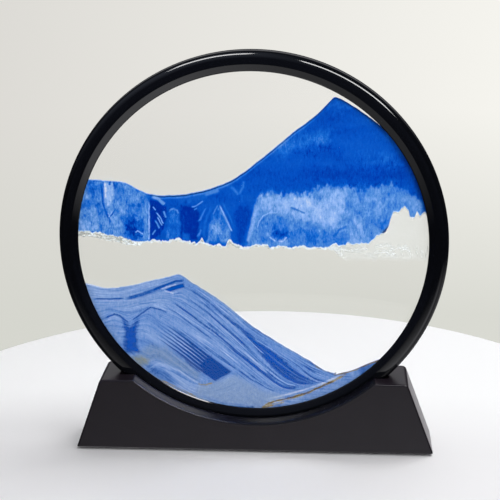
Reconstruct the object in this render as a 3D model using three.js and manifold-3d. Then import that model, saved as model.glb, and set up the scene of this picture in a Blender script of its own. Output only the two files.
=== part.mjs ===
// Moving sand picture: two glass discs with clear liquid and blue sand between them, held in a round
// black rim, turn as one wheel in the cradle of a moulded stand.
// Millimetres, +Z up. The origin is on the table under the middle of the stand, the front faces -Y,
// and the wheel turns about an axis parallel to Y.

import * as THREE from 'three';
import { mergeVertices } from 'three/addons/utils/BufferGeometryUtils.js';
import Module from 'manifold-3d';

const wasm = await Module();
wasm.setup();

// Clearances
const SEAT_GAP = 0.2; // hairline between pieces that are glued or clamped together
const SAND_GAP = 0.3; // between neighbouring fillings of the cell, measured upwards
const WHEEL_PLAY = 0.4; // running clearance of the wheel in its cradle

// Wheel
const RIM_OUTER_RADIUS = 90;
const RIM_EDGE_RADIUS = 2.2; // round from the outer wall of the ring to its flat front
const RIM_FLAT_WIDTH = 3.8;
const RIM_BEVEL_WIDTH = 3.2; // bevel that leads from the flat front in to the glass
const RIM_BEVEL_DEPTH = 0.9;
const REAR_BEVEL_WIDTH = 0.8; // the rear half opens wider, so that it stays hidden behind the front half
const RIM_WALL = 3; // radial wall outside the glass
const RIM_LIP = 1.2; // thickness of the lip that laps over the glass
const RIM_LAP = 2; // how far the front half reaches into the rear half
const GLASS_THICKNESS = 1.2;
const GLASS_ARRIS = 0.3; // ground-off edge of the glass
const SPACER_THICKNESS = 2;
const SPACER_WIDTH = 4.2;
const GASKET_THICKNESS = 0.4;
const GASKET_SETBACK = 0.6; // the soft rings end this far inside the glass edge
const PLUG_RADIUS = 0.5;
const PLUG_TAPER = 0.08;

// Stand
const STAND_FOOT_WIDTH = 170.5;
const STAND_TOP_WIDTH = 144.8;
const STAND_HEIGHT = 36.2;
const STAND_WALL = 2.4;
const STAND_CORNER_RADIUS = 1.6;
const STAND_EDGE_ROUND = 0.8;
const SADDLE_ROOM = 4.2; // least height of the ribs, from the base plate to the saddle under the wheel
const CRADLE_WALL = 7.4; // front and rear walls of the slot
const CRADLE_LIP = 5; // how far those walls rise over the edge of the wheel
const CRADLE_EDGE_ROUND = 0.7;
const RIB_COUNT = 5;
const RIB_PITCH = 28;
const RIB_THICKNESS = 1.8;
const BASE_PLATE_THICKNESS = 2;
const FOOT_RADIUS = 3;
const FOOT_TAPER = 0.3;
const FOOT_PROUD = 1; // the feet hold the stand this far off the table
const FOOT_RECESS = 0.6;
const FOOT_END_INSET = 8; // foot edge to the end of the base plate
const FOOT_SIDE_INSET = 0.8; // foot edge to the long side of the base plate

// Facets
const ROUND_STEPS = 80;
const SMALL_ROUND_STEPS = 20;
const EDGE_STEPS = 5;
const FINE_EDGE_STEPS = 3;
const OUTLINE_STEPS = 4; // between two points of a sand outline

// Sizes that follow
const SPACER_FACE = SPACER_THICKNESS / 2;
const GASKET_INNER_FACE = SPACER_FACE + SEAT_GAP;
const GASKET_OUTER_FACE = GASKET_INNER_FACE + GASKET_THICKNESS;
const GLASS_INNER_FACE = GASKET_OUTER_FACE + SEAT_GAP;
const GLASS_OUTER_FACE = GLASS_INNER_FACE + GLASS_THICKNESS;
const LIP_SEAT = GLASS_OUTER_FACE + SEAT_GAP;
const RIM_FACE = LIP_SEAT + RIM_LIP; // half of the wheel's thickness
const RIM_BORE = RIM_OUTER_RADIUS - RIM_WALL;
const FLAT_INNER_RADIUS = RIM_OUTER_RADIUS - RIM_EDGE_RADIUS - RIM_FLAT_WIDTH;
const GLASS_RADIUS = RIM_BORE - SEAT_GAP;
const SPACER_INNER_RADIUS = GLASS_RADIUS - SPACER_WIDTH;
const CELL_RADIUS = SPACER_INNER_RADIUS - SEAT_GAP;
const CELL_HALF_DEPTH = GLASS_INNER_FACE - SEAT_GAP;
const OUTLINE_REACH = 2 * RIM_OUTER_RADIUS; // sand outlines run on past the cell to here
const PLATE_TOP = FOOT_PROUD + BASE_PLATE_THICKNESS;
const WHEEL_LIFT = PLATE_TOP + SADDLE_ROOM + STAND_WALL + WHEEL_PLAY; // table to the wheel's lowest point
const AXIS_HEIGHT = WHEEL_LIFT + RIM_OUTER_RADIUS;
const CRADLE_FACE = RIM_FACE + WHEEL_PLAY;
const STAND_FACE = CRADLE_FACE + CRADLE_WALL; // half of the stand's depth
const CRADLE_RADIUS = RIM_OUTER_RADIUS + WHEEL_PLAY;
const SADDLE_RADIUS = CRADLE_RADIUS + STAND_WALL;
const SIDE_SLOPE = (STAND_FOOT_WIDTH - STAND_TOP_WIDTH) / 2 / (STAND_HEIGHT - FOOT_PROUD);
const SIDE_WALL = STAND_WALL * Math.hypot(1, SIDE_SLOPE); // the sloping wall, measured along X
const PLATE_FACE = STAND_FACE - STAND_WALL - SEAT_GAP;
const CUT_MARGIN = 5; // cutters run past what they cut

// Sand outlines, each a list of [x, z]. The upper bank and its bubbles are measured from the wheel's
// centre, and what lies at the bottom from the lowest point of the cell.
const UPPER_BANK_TOP = [
  [-73, 32], [-57, 30.5], [-50, 27], [-41, 25], [-28, 26], [-16, 29], [-7, 34], [0, 38.5],
  [17, 52.5], [31, 63.5], [37, 69.5], [42, 69.2], [52, 63],
];
const UPPER_BANK_FOOT = [
  [-79, 7], [-61, 5], [-47, 3.3], [-24, 1.6], [0, 0.8], [22, 1.6], [45, 2.7], [54, 4.3],
  [60, 9], [64, 17], [69, 19.5], [72, 16.4], [79, 18],
];
const DUNE_TOP = [
  [-78, 64.4], [-71, 62.4], [-60, 63], [-48, 66], [-38, 68.4], [-34.5, 69.4], [-29, 66],
  [-15, 57], [-1, 44.4], [13, 34.4], [27, 26], [39, 19.4], [52, 12],
];
const PALE_CAP_FOOT = [
  [-78, 58], [-66, 57], [-56, 58], [-45, 62.5], [-36, 67], [-29, 66], [-20, 61.5],
];
const GOLD_SEAM_TOP = [
  [-14, -8], [1, 2.2], [22, 10.2], [38, 20.2], [46, 22.6], [55, 26.8], [61, 29.4],
];
const GOLD_SEAM_THICKNESS = 1.4;
const BUBBLE_DEPTH = 2.4; // mean height of the row of air bubbles under the upper bank
const BUBBLE_SWELL = 0.6;
const BUBBLE_PITCH = 10;

const FINISHES = {
  glossBlack: { color: 0x0b0b0e, roughness: 0.16, metalness: 0 },
  satinBlack: { color: 0x2a282c, roughness: 0.5, metalness: 0 },
  rubber: { color: 0x1c1c1d, roughness: 0.9, metalness: 0 },
  silicone: { color: 0xd9dcdc, roughness: 0.6, metalness: 0 },
  spacer: { color: 0xe8e9e6, roughness: 0.4, metalness: 0 },
  glass: { color: 0xeef6f4, roughness: 0.03, metalness: 0, transparent: true, opacity: 0.14 },
  liquid: { color: 0xf2f6f6, roughness: 0.05, metalness: 0, transparent: true, opacity: 0.1 },
  bubbles: { color: 0xf4f6f4, roughness: 0.2, metalness: 0, transparent: true, opacity: 0.7 },
  blueSand: { color: 0x1a5ccb, roughness: 0.85, metalness: 0 },
  duneSand: { color: 0x5d8bd6, roughness: 0.85, metalness: 0 },
  paleSand: { color: 0x94abe0, roughness: 0.85, metalness: 0 },
  goldSand: { color: 0xa98f55, roughness: 0.8, metalness: 0 },
};

// Solids and their geometry

function toSolid(geometry) {
  const bare = geometry.clone();
  bare.deleteAttribute('normal');
  bare.deleteAttribute('uv');
  const welded = mergeVertices(bare);
  const corners = welded.index.array;
  const triangles = [];
  for (let i = 0; i < corners.length; i += 3) {
    const [a, b, c] = corners.slice(i, i + 3);
    if (a !== b && b !== c && c !== a) triangles.push(a, b, c);
  }
  const vertProperties = new Float32Array(welded.attributes.position.array);
  const triVerts = new Uint32Array(triangles);
  return new wasm.Manifold(new wasm.Mesh({ numProp: 3, vertProperties, triVerts }));
}

function toGeometry(solid) {
  const { vertProperties, triVerts } = solid.getMesh();
  const geometry = new THREE.BufferGeometry();
  geometry.setAttribute('position', new THREE.BufferAttribute(vertProperties, 3));
  geometry.setIndex(new THREE.BufferAttribute(triVerts, 1));
  geometry.computeVertexNormals();
  return geometry;
}

// Revolves a profile of [radius, y] about the wheel's axis. It closes on itself or on the axis.
function revolve(profile) {
  const points = profile.map(([radius, y]) => new THREE.Vector2(radius, y));
  return new THREE.LatheGeometry(points, ROUND_STEPS);
}

function disc(radius, nearY, farY) {
  return revolve([[0, nearY], [radius, nearY], [radius, farY], [0, farY]]);
}

function ring(innerRadius, outerRadius, nearY, farY) {
  return revolve([
    [innerRadius, nearY], [outerRadius, nearY], [outerRadius, farY], [innerRadius, farY],
    [innerRadius, nearY],
  ]);
}

// Points of an arc in the plane of a profile, with its ends in degrees.
function arc([radius, y], arcRadius, fromDegrees, toDegrees, steps) {
  const points = [];
  for (let i = 0; i <= steps; i += 1) {
    const turn = THREE.MathUtils.degToRad(fromDegrees + ((toDegrees - fromDegrees) * i) / steps);
    points.push([radius + arcRadius * Math.cos(turn), y + arcRadius * Math.sin(turn)]);
  }
  return points;
}

// Extrudes a shape drawn in X and Z through the depth of the object, half to each side of y = 0.
function extrudeThroughDepth(shape, halfDepth, edgeRound = 0) {
  const geometry = new THREE.ExtrudeGeometry(shape, {
    depth: 2 * (halfDepth - edgeRound),
    bevelEnabled: edgeRound > 0,
    bevelThickness: edgeRound,
    bevelSize: edgeRound,
    bevelOffset: -edgeRound,
    bevelSegments: FINE_EDGE_STEPS,
    curveSegments: EDGE_STEPS,
  });
  return geometry.rotateX(Math.PI / 2).translate(0, halfDepth - edgeRound, 0);
}

// An upright peg whose lower end is narrower.
function taperedPeg(radius, taper, lowZ, highZ) {
  const peg = new THREE.CylinderGeometry(radius, radius - taper, highZ - lowZ, SMALL_ROUND_STEPS);
  return peg.rotateX(Math.PI / 2).translate(0, 0, (lowZ + highZ) / 2);
}

function mesh(name, geometry, finish) {
  const made = new THREE.Mesh(geometry, new THREE.MeshStandardMaterial(FINISHES[finish]));
  made.name = name;
  return made;
}

// Rim of the wheel, two ring mouldings that lap at the middle plane

// From the lip over the glass, over the bevel and the flat front, and round to the outer wall.
function rimFaceProfile(bevelWidth) {
  const edgeCentre = [RIM_OUTER_RADIUS - RIM_EDGE_RADIUS, RIM_FACE - RIM_EDGE_RADIUS];
  const openingRadius = FLAT_INNER_RADIUS - bevelWidth;
  const bevelDepth = (RIM_BEVEL_DEPTH * bevelWidth) / RIM_BEVEL_WIDTH;
  return [
    [openingRadius, LIP_SEAT],
    [openingRadius, RIM_FACE - bevelDepth],
    [FLAT_INNER_RADIUS, RIM_FACE],
    ...arc(edgeCentre, RIM_EDGE_RADIUS, 90, 0, EDGE_STEPS),
  ];
}

function frontRimGeometry() {
  const lapRadius = RIM_OUTER_RADIUS - RIM_WALL / 2 - SEAT_GAP / 2;
  const face = rimFaceProfile(RIM_BEVEL_WIDTH).map(([radius, y]) => [radius, -y]);
  return revolve([
    ...face,
    [RIM_OUTER_RADIUS, -SEAT_GAP / 2],
    [lapRadius, -SEAT_GAP / 2],
    [lapRadius, RIM_LAP],
    [RIM_BORE, RIM_LAP],
    [RIM_BORE, -LIP_SEAT],
    face[0],
  ]);
}

function rearRimGeometry() {
  const lapRadius = RIM_OUTER_RADIUS - RIM_WALL / 2 + SEAT_GAP / 2;
  const lapEnd = RIM_LAP + SEAT_GAP;
  const face = rimFaceProfile(REAR_BEVEL_WIDTH).reverse();
  return revolve([
    [RIM_BORE, lapEnd],
    [lapRadius, lapEnd],
    [lapRadius, SEAT_GAP / 2],
    [RIM_OUTER_RADIUS, SEAT_GAP / 2],
    ...face,
    [RIM_BORE, LIP_SEAT],
    [RIM_BORE, lapEnd],
  ]);
}

// Glass cell, from the glass inwards

function glassGeometry() {
  const flatRadius = GLASS_RADIUS - GLASS_ARRIS;
  return revolve([
    [0, GLASS_INNER_FACE],
    [flatRadius, GLASS_INNER_FACE],
    [GLASS_RADIUS, GLASS_INNER_FACE + GLASS_ARRIS],
    [GLASS_RADIUS, GLASS_OUTER_FACE - GLASS_ARRIS],
    [flatRadius, GLASS_OUTER_FACE],
    [0, GLASS_OUTER_FACE],
  ]);
}

function gasketGeometry() {
  const outerRadius = GLASS_RADIUS - GASKET_SETBACK;
  return ring(SPACER_INNER_RADIUS, outerRadius, GASKET_INNER_FACE, GASKET_OUTER_FACE);
}

// The ring between the glass discs, with the hole that the cell is filled through.
function spacerGeometry() {
  const whole = toSolid(ring(SPACER_INNER_RADIUS, GLASS_RADIUS, -SPACER_FACE, SPACER_FACE));
  const boreLow = SPACER_INNER_RADIUS - CUT_MARGIN;
  const boreHigh = GLASS_RADIUS + CUT_MARGIN;
  const bore = toSolid(taperedPeg(PLUG_RADIUS + SEAT_GAP, 0, boreLow, boreHigh));
  return toGeometry(whole.subtract(bore));
}

function plugGeometry() {
  return taperedPeg(PLUG_RADIUS, PLUG_TAPER, SPACER_INNER_RADIUS, GLASS_RADIUS);
}

// Turns a front-to-back copy of a geometry that is symmetrical about the axis.
function facingFront(geometry) {
  return geometry.clone().rotateX(Math.PI);
}

// Fillings of the cell: everything below an outline, cut and stacked

function raised(outline, lift) {
  return outline.map(([x, z]) => [x, z + lift]);
}

function fromCellBottom(outline) {
  return raised(outline, -CELL_RADIUS);
}

// The solid below an outline, which runs on level at both ends.
function below(outline) {
  const curve = new THREE.SplineCurve(outline.map(([x, z]) => new THREE.Vector2(x, z)));
  const points = curve.getPoints((outline.length - 1) * OUTLINE_STEPS);
  const first = points[0];
  const last = points[points.length - 1];
  const shape = new THREE.Shape([
    new THREE.Vector2(-OUTLINE_REACH, -OUTLINE_REACH),
    new THREE.Vector2(OUTLINE_REACH, -OUTLINE_REACH),
    new THREE.Vector2(OUTLINE_REACH, last.y),
    ...points.reverse(),
    new THREE.Vector2(-OUTLINE_REACH, first.y),
  ]);
  return toSolid(extrudeThroughDepth(shape, CELL_HALF_DEPTH + CUT_MARGIN));
}

// The height of an outline at x, between its points in straight lines and level past its ends.
function heightAt(outline, x) {
  const next = outline.findIndex(([pointX]) => pointX >= x);
  if (next === 0) return outline[0][1];
  if (next < 0) return outline[outline.length - 1][1];
  const [startX, startZ] = outline[next - 1];
  const [endX, endZ] = outline[next];
  return THREE.MathUtils.mapLinear(x, startX, endX, startZ, endZ);
}

// The lower side of the bubbles, a row of even lobes under the upper bank.
function bubbleFootOutline() {
  const outline = [];
  const halfPitches = Math.ceil((2 * CELL_RADIUS) / (BUBBLE_PITCH / 2));
  for (let i = 0; i <= halfPitches; i += 1) {
    const x = -CELL_RADIUS + (i * BUBBLE_PITCH) / 2;
    const swell = i % 2 === 0 ? -BUBBLE_SWELL : BUBBLE_SWELL;
    outline.push([x, heightAt(UPPER_BANK_FOOT, x) - SAND_GAP - BUBBLE_DEPTH - swell]);
  }
  return outline;
}

function fillingMeshes() {
  const cell = toSolid(disc(CELL_RADIUS, -CELL_HALF_DEPTH, CELL_HALF_DEPTH));
  const duneTop = fromCellBottom(DUNE_TOP);
  const capFoot = fromCellBottom(PALE_CAP_FOOT);
  const seamTop = fromCellBottom(GOLD_SEAM_TOP);
  const bubbleFoot = bubbleFootOutline();

  const seamFoot = raised(seamTop, -GOLD_SEAM_THICKNESS);
  const drift = below(raised(seamFoot, -SAND_GAP)).intersect(cell);
  const seam = below(seamTop).subtract(below(seamFoot)).intersect(cell);
  const overSeam = below(raised(seamTop, SAND_GAP));
  const dune = below(duneTop).subtract(overSeam).intersect(cell);
  const settled = below(raised(duneTop, SAND_GAP)).add(overSeam);
  const freeLiquid = below(raised(bubbleFoot, -SAND_GAP)).intersect(cell);
  const bankFoot = below(raised(UPPER_BANK_FOOT, -SAND_GAP));
  const bubbles = bankFoot.subtract(below(bubbleFoot)).intersect(cell);
  const bank = below(UPPER_BANK_TOP).subtract(below(UPPER_BANK_FOOT)).intersect(cell);

  const fillings = {
    pale_sand_drift: [drift, 'paleSand'],
    gold_sand_seam: [seam, 'goldSand'],
    lower_sand_dune: [dune.intersect(below(raised(capFoot, -SAND_GAP))), 'duneSand'],
    pale_sand_cap: [dune.subtract(below(capFoot)), 'paleSand'],
    lower_liquid: [freeLiquid.subtract(settled), 'liquid'],
    bubble_row: [bubbles, 'bubbles'],
    upper_sand_bank: [bank, 'blueSand'],
    upper_liquid: [cell.subtract(below(raised(UPPER_BANK_TOP, SAND_GAP))), 'liquid'],
  };
  return Object.entries(fillings).map(([name, [solid, finish]]) => mesh(name, toGeometry(solid), finish));
}

// Stand

function standHalfWidth(z) {
  return STAND_FOOT_WIDTH / 2 - SIDE_SLOPE * (z - FOOT_PROUD);
}

// The stand's outline between two heights, drawn in from its sloping sides by an inset along X.
function standOutline(lowZ, highZ, inset, cornerRadius = 0) {
  const low = standHalfWidth(lowZ) - inset;
  const high = standHalfWidth(highZ) - inset;
  const sideX = SIDE_SLOPE * cornerRadius;
  const shape = new THREE.Shape();
  shape.moveTo(-low, lowZ);
  shape.lineTo(low, lowZ);
  if (cornerRadius > 0) {
    shape.lineTo(high + sideX, highZ - cornerRadius);
    shape.quadraticCurveTo(high, highZ, high - cornerRadius, highZ);
    shape.lineTo(-high + cornerRadius, highZ);
    shape.quadraticCurveTo(-high, highZ, -high - sideX, highZ - cornerRadius);
  } else {
    shape.lineTo(high, highZ);
    shape.lineTo(-high, highZ);
  }
  shape.closePath();
  return shape;
}

// What the wheel and its running clearance take out of the stand, with rounded edges at the lips.
function cradleCutter() {
  const lipRadius = RIM_OUTER_RADIUS - CRADLE_LIP;
  const edgeCentre = [lipRadius + CRADLE_EDGE_ROUND, STAND_FACE - CRADLE_EDGE_ROUND];
  const side = [
    [CRADLE_RADIUS, CRADLE_FACE],
    [lipRadius, CRADLE_FACE],
    ...arc(edgeCentre, CRADLE_EDGE_ROUND, 180, 90, FINE_EDGE_STEPS),
    [lipRadius + CRADLE_EDGE_ROUND, STAND_FACE + CUT_MARGIN],
    [0, STAND_FACE + CUT_MARGIN],
  ];
  const front = side.map(([radius, y]) => [radius, -y]).reverse();
  return toSolid(revolve([...front, ...side]).translate(0, 0, AXIS_HEIGHT));
}

// The hollow under the stand: its own outline, less the saddle under the wheel and the cross ribs.
function hollowCutter() {
  const hollowFace = STAND_FACE - STAND_WALL;
  const outline = standOutline(FOOT_PROUD - CUT_MARGIN, STAND_HEIGHT - STAND_WALL, SIDE_WALL);
  const saddle = disc(SADDLE_RADIUS, -STAND_FACE, STAND_FACE).translate(0, 0, AXIS_HEIGHT);
  let hollow = toSolid(extrudeThroughDepth(outline, hollowFace)).subtract(toSolid(saddle));
  const ribLow = PLATE_TOP + SEAT_GAP;
  for (let i = 0; i < RIB_COUNT; i += 1) {
    const x = (i - (RIB_COUNT - 1) / 2) * RIB_PITCH;
    const rib = new THREE.BoxGeometry(RIB_THICKNESS, 2 * STAND_FACE, STAND_HEIGHT - ribLow);
    hollow = hollow.subtract(toSolid(rib.translate(x, 0, (STAND_HEIGHT + ribLow) / 2)));
  }
  return hollow;
}

function standShellGeometry() {
  const outline = standOutline(FOOT_PROUD, STAND_HEIGHT, 0, STAND_CORNER_RADIUS);
  const block = toSolid(extrudeThroughDepth(outline, STAND_FACE, STAND_EDGE_ROUND));
  return toGeometry(block.subtract(cradleCutter()).subtract(hollowCutter()));
}

function footPlaces() {
  const plateEnd = standHalfWidth(PLATE_TOP) - SIDE_WALL - SEAT_GAP;
  const x = plateEnd - FOOT_END_INSET - FOOT_RADIUS;
  const y = PLATE_FACE - FOOT_SIDE_INSET - FOOT_RADIUS;
  return {
    front_left_foot: [-x, -y],
    front_right_foot: [x, -y],
    rear_left_foot: [-x, y],
    rear_right_foot: [x, y],
  };
}

// The plate that closes the stand from below, with a recess for each foot.
function basePlateGeometry() {
  const outline = standOutline(FOOT_PROUD, PLATE_TOP, SIDE_WALL + SEAT_GAP);
  let plate = toSolid(extrudeThroughDepth(outline, PLATE_FACE));
  const recess = taperedPeg(FOOT_RADIUS + SEAT_GAP, 0, FOOT_PROUD - CUT_MARGIN, FOOT_PROUD + FOOT_RECESS);
  for (const [x, y] of Object.values(footPlaces())) {
    plate = plate.subtract(toSolid(recess.clone().translate(x, y, 0)));
  }
  return toGeometry(plate);
}

function footMeshes() {
  const foot = taperedPeg(FOOT_RADIUS, FOOT_TAPER, 0, FOOT_PROUD + FOOT_RECESS - SEAT_GAP);
  return Object.entries(footPlaces()).map(([name, [x, y]]) => {
    const made = mesh(name, foot.clone(), 'rubber');
    made.position.set(x, y, 0);
    return made;
  });
}

// Assembly

const wheel = new THREE.Group();
wheel.position.z = AXIS_HEIGHT;
wheel.add(
  mesh('front_rim', frontRimGeometry(), 'glossBlack'),
  mesh('rear_rim', rearRimGeometry(), 'glossBlack'),
  mesh('front_glass', facingFront(glassGeometry()), 'glass'),
  mesh('rear_glass', glassGeometry(), 'glass'),
  mesh('front_gasket', facingFront(gasketGeometry()), 'silicone'),
  mesh('rear_gasket', gasketGeometry(), 'silicone'),
  mesh('spacer_ring', spacerGeometry(), 'spacer'),
  mesh('fill_plug', plugGeometry(), 'rubber'),
  ...fillingMeshes(),
);

const stand = new THREE.Group();
stand.add(
  mesh('stand_shell', standShellGeometry(), 'satinBlack'),
  mesh('stand_base_plate', basePlateGeometry(), 'satinBlack'),
  ...footMeshes(),
);

const sandPicture = new THREE.Group();
sandPicture.add(wheel, stand);

export default sandPicture;
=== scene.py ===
"""Studio scene of a moving sand picture: a glass wheel of liquid and blue sand in a black stand."""

from __future__ import annotations

import logging
import math
from collections.abc import Callable, Iterator, Sequence
from contextlib import contextmanager
from dataclasses import dataclass, field
from enum import Enum

import bmesh
import bpy
import numpy as np
from mathutils import Matrix, Vector

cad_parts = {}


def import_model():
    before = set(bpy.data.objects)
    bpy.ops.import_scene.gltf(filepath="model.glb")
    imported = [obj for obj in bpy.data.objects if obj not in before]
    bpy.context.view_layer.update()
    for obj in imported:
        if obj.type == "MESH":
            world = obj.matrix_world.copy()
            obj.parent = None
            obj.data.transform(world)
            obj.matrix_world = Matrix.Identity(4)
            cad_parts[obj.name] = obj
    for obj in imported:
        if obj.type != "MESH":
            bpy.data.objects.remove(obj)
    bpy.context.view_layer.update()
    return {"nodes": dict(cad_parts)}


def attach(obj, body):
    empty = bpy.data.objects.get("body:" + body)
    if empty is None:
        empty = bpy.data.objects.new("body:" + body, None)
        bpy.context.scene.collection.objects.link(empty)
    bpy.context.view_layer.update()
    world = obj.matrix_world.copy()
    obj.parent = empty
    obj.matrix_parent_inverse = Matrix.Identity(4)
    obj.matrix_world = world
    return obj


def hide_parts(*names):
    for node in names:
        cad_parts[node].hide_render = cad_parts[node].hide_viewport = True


LOG = logging.getLogger("sand_picture")
MM = 0.001
AXIS_HEIGHT = 100.0
PICTURE_DROP = -0.95
PICTURE_SCALE = 1.004
FULL_TURN = 2.0 * math.pi
NOISE_MIDDLE = 0.5
OCTAVE_WEIGHT = 0.55
OCTAVE_SIZE = 0.5
ACROSS_HASH = 127.1
UP_HASH = 311.7
SEED_HASH = 74.7
HASH_SCALE = 43758.5453
SOFT = 2.0
FINE = 3.0
FINER = 4.0
FINEST = 5.0
GRAIN_BUMP = 0.0001

Colour = tuple[float, float, float, float]
Point = tuple[float, float]
Line = tuple[Point, ...]
Noise = tuple[float, int]
Field = np.ndarray
Height = Callable[[Field], Field]


def mm(*sizes: float) -> tuple[float, ...]:
    """Sizes in millimetres as metres."""
    return tuple(size * MM for size in sizes)


def srgb(red: int, green: int, blue: int) -> Colour:
    """Colour of a screen value from 0 to 255 as linear light.

    Args:
        red: Red of the screen value.
        green: Green of the screen value.
        blue: Blue of the screen value.

    Returns:
        Red, green, blue and a full alpha.
    """
    shares = [channel / 255.0 for channel in (red, green, blue)]
    linear = [share / 12.92 if share <= 0.04045 else ((share + 0.055) / 1.055) ** 2.4 for share in shares]
    return linear[0], linear[1], linear[2], 1.0


@dataclass(frozen=True)
class PhotoView:
    """A view of the photograph, or of an enlarged part of it, in which points of the sand are read off.

    The readings use a first fit of the photograph's camera, in degrees, millimetres and pixels. The picture's
    drop and scale carry them on to the final fit.
    """

    left: float = 0.0
    top: float = 0.0
    zoom: float = 1.0
    azimuth: float = 3.98
    elevation: float = 18.02
    roll: float = -0.66
    distance: float = 568.7
    focal: float = 1232.8
    middle: float = 250.0
    aim: tuple[float, float, float] = (-1.13, 0.0, 97.93)
    sand_face: float = -3.0
    places: int = 1

    def line(self, *points: Point) -> Line:
        """Carries points read in this view to the face of the sand.

        Args:
            points: Across and down of each point, in the view's own pixels.

        Returns:
            Across and up of each point, in millimetres from the wheel's centre.
        """
        turn, lift, roll = (math.radians(angle) for angle in (self.azimuth, self.elevation, self.roll))
        back = np.array([math.sin(turn) * math.cos(lift), -math.cos(turn) * math.cos(lift), math.sin(lift)])
        level = np.array([math.cos(turn), math.sin(turn), 0.0])
        upright = np.cross(back, level)
        across = level * math.cos(roll) + upright * math.sin(roll)
        up = upright * math.cos(roll) - level * math.sin(roll)
        eye = np.array(self.aim) + self.distance * back
        carried = []
        for right, down in points:
            aside = (self.left + right / self.zoom - self.middle) / self.focal
            above = (self.middle - self.top - down / self.zoom) / self.focal
            ray = across * aside + up * above - back
            hit = eye + ray * (self.sand_face - eye[1]) / ray[1]
            height = float(hit[2]) - AXIS_HEIGHT
            carried.append((round(float(hit[0]), self.places), round(height, self.places)))
        return tuple(carried)


PHOTO = PhotoView()
LEFT_VIEW = PhotoView(left=70.0, top=170.0, zoom=8.2526)
RIGHT_VIEW = PhotoView(left=240.0, top=180.0, zoom=8.041)


class Bench:
    """Blender's modelling operators, as used at the bench."""

    @staticmethod
    def clear_selection() -> None:
        """Leaves every object unselected."""
        bpy.ops.object.select_all(action="DESELECT")

    @staticmethod
    def named(name: str) -> bpy.types.Object:
        """Names the object that was just added and settles its place into its mesh.

        Args:
            name: Its name.

        Returns:
            The object.
        """
        made = bpy.context.active_object
        made.name = name
        made.data.name = name
        bpy.ops.object.transform_apply(location=True, rotation=True, scale=True)
        return made

    @staticmethod
    @contextmanager
    def editing(piece: bpy.types.Object) -> Iterator[bmesh.types.BMesh]:
        """Holds a piece in edit mode.

        Args:
            piece: Mesh object to edit.

        Returns:
            The piece's edit mesh, with nothing selected.
        """
        Bench.clear_selection()
        piece.select_set(True)
        bpy.context.view_layer.objects.active = piece
        bpy.ops.object.mode_set(mode="EDIT")
        bpy.ops.mesh.select_mode(type="VERT")
        bpy.ops.mesh.select_all(action="DESELECT")
        yield bmesh.from_edit_mesh(piece.data)
        bpy.ops.object.mode_set(mode="OBJECT")

    @staticmethod
    def close_and_face_out(weld: float = 1e-6) -> None:
        """Welds the doubles of the mesh in edit mode and points its faces outwards.

        Args:
            weld: How close two points are to be one, in metres.
        """
        bpy.ops.mesh.select_all(action="SELECT")
        bpy.ops.mesh.remove_doubles(threshold=weld)
        bpy.ops.mesh.normals_make_consistent(inside=False)

    @staticmethod
    def apply(piece: bpy.types.Object, kind: str, settings: dict[str, object]) -> None:
        """Adds a modifier to a piece and applies it.

        Args:
            piece: Object that the modifier changes.
            kind: Type of the modifier.
            settings: Values of the modifier, by name.
        """
        Bench.clear_selection()
        piece.select_set(True)
        bpy.context.view_layer.objects.active = piece
        modifier = piece.modifiers.new(kind.lower(), kind)
        for key, value in settings.items():
            setattr(modifier, key, value)
        bpy.ops.object.modifier_apply(modifier=modifier.name)

    @staticmethod
    def smooth(piece: bpy.types.Object, degrees: float) -> None:
        """Shades a piece smooth where its faces meet at less than an angle.

        Args:
            piece: The piece.
            degrees: The angle.
        """
        Bench.clear_selection()
        piece.select_set(True)
        bpy.context.view_layer.objects.active = piece
        bpy.ops.object.shade_smooth_by_angle(angle=math.radians(degrees))

    @staticmethod
    def turned(name: str, section: Sequence[Point], steps: int) -> bpy.types.Object:
        """Spins a closed section about the wheel's axis.

        Args:
            name: Name of the piece.
            section: Radius and depth of each point, in millimetres, in order round the section.
            steps: Facets round the axis.

        Returns:
            The closed ring or disc.
        """
        Bench.clear_selection()
        bpy.ops.mesh.primitive_circle_add(vertices=len(section), radius=1.0)
        piece = Bench.named(name)
        for vertex, (radius, depth) in zip(piece.data.vertices, section):
            vertex.co = mm(radius, depth, AXIS_HEIGHT)
        with Bench.editing(piece):
            bpy.ops.mesh.select_all(action="SELECT")
            bpy.ops.mesh.spin(steps=steps, angle=FULL_TURN, center=mm(0, 0, AXIS_HEIGHT), axis=(0, 1, 0))
            Bench.close_and_face_out()
        return piece

    @staticmethod
    def dress(piece: bpy.types.Object, material: bpy.types.Material) -> None:
        """Gives a piece one material all over."""
        piece.data.materials.clear()
        piece.data.materials.append(material)


def rounded_section(corners: Sequence[tuple[float, float, float]], steps: int) -> list[Point]:
    """Draws a closed section with rounded corners.

    Args:
        corners: Radius, depth and fillet of each corner, in order round the section.
        steps: Facets of each fillet.

    Returns:
        Radius and depth of each point of the section.
    """
    points: list[Point] = []
    for index, (radius, depth, fillet) in enumerate(corners):
        here = Vector((radius, depth))
        if fillet <= 0:
            points.append((radius, depth))
            continue
        before = (Vector(corners[index - 1][:2]) - here).normalized()
        after = (Vector(corners[(index + 1) % len(corners)][:2]) - here).normalized()
        half = before.angle(after) / 2
        centre = here + (before + after).normalized() * fillet / math.sin(half)
        start = here + before * fillet / math.tan(half) - centre
        end = here + after * fillet / math.tan(half) - centre
        turn = start.angle(end)
        for step in range(steps + 1):
            share = step / steps
            arm = (start * math.sin((1 - share) * turn) + end * math.sin(share * turn)) / math.sin(turn)
            points.append(tuple(centre + arm))
    return points


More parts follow.
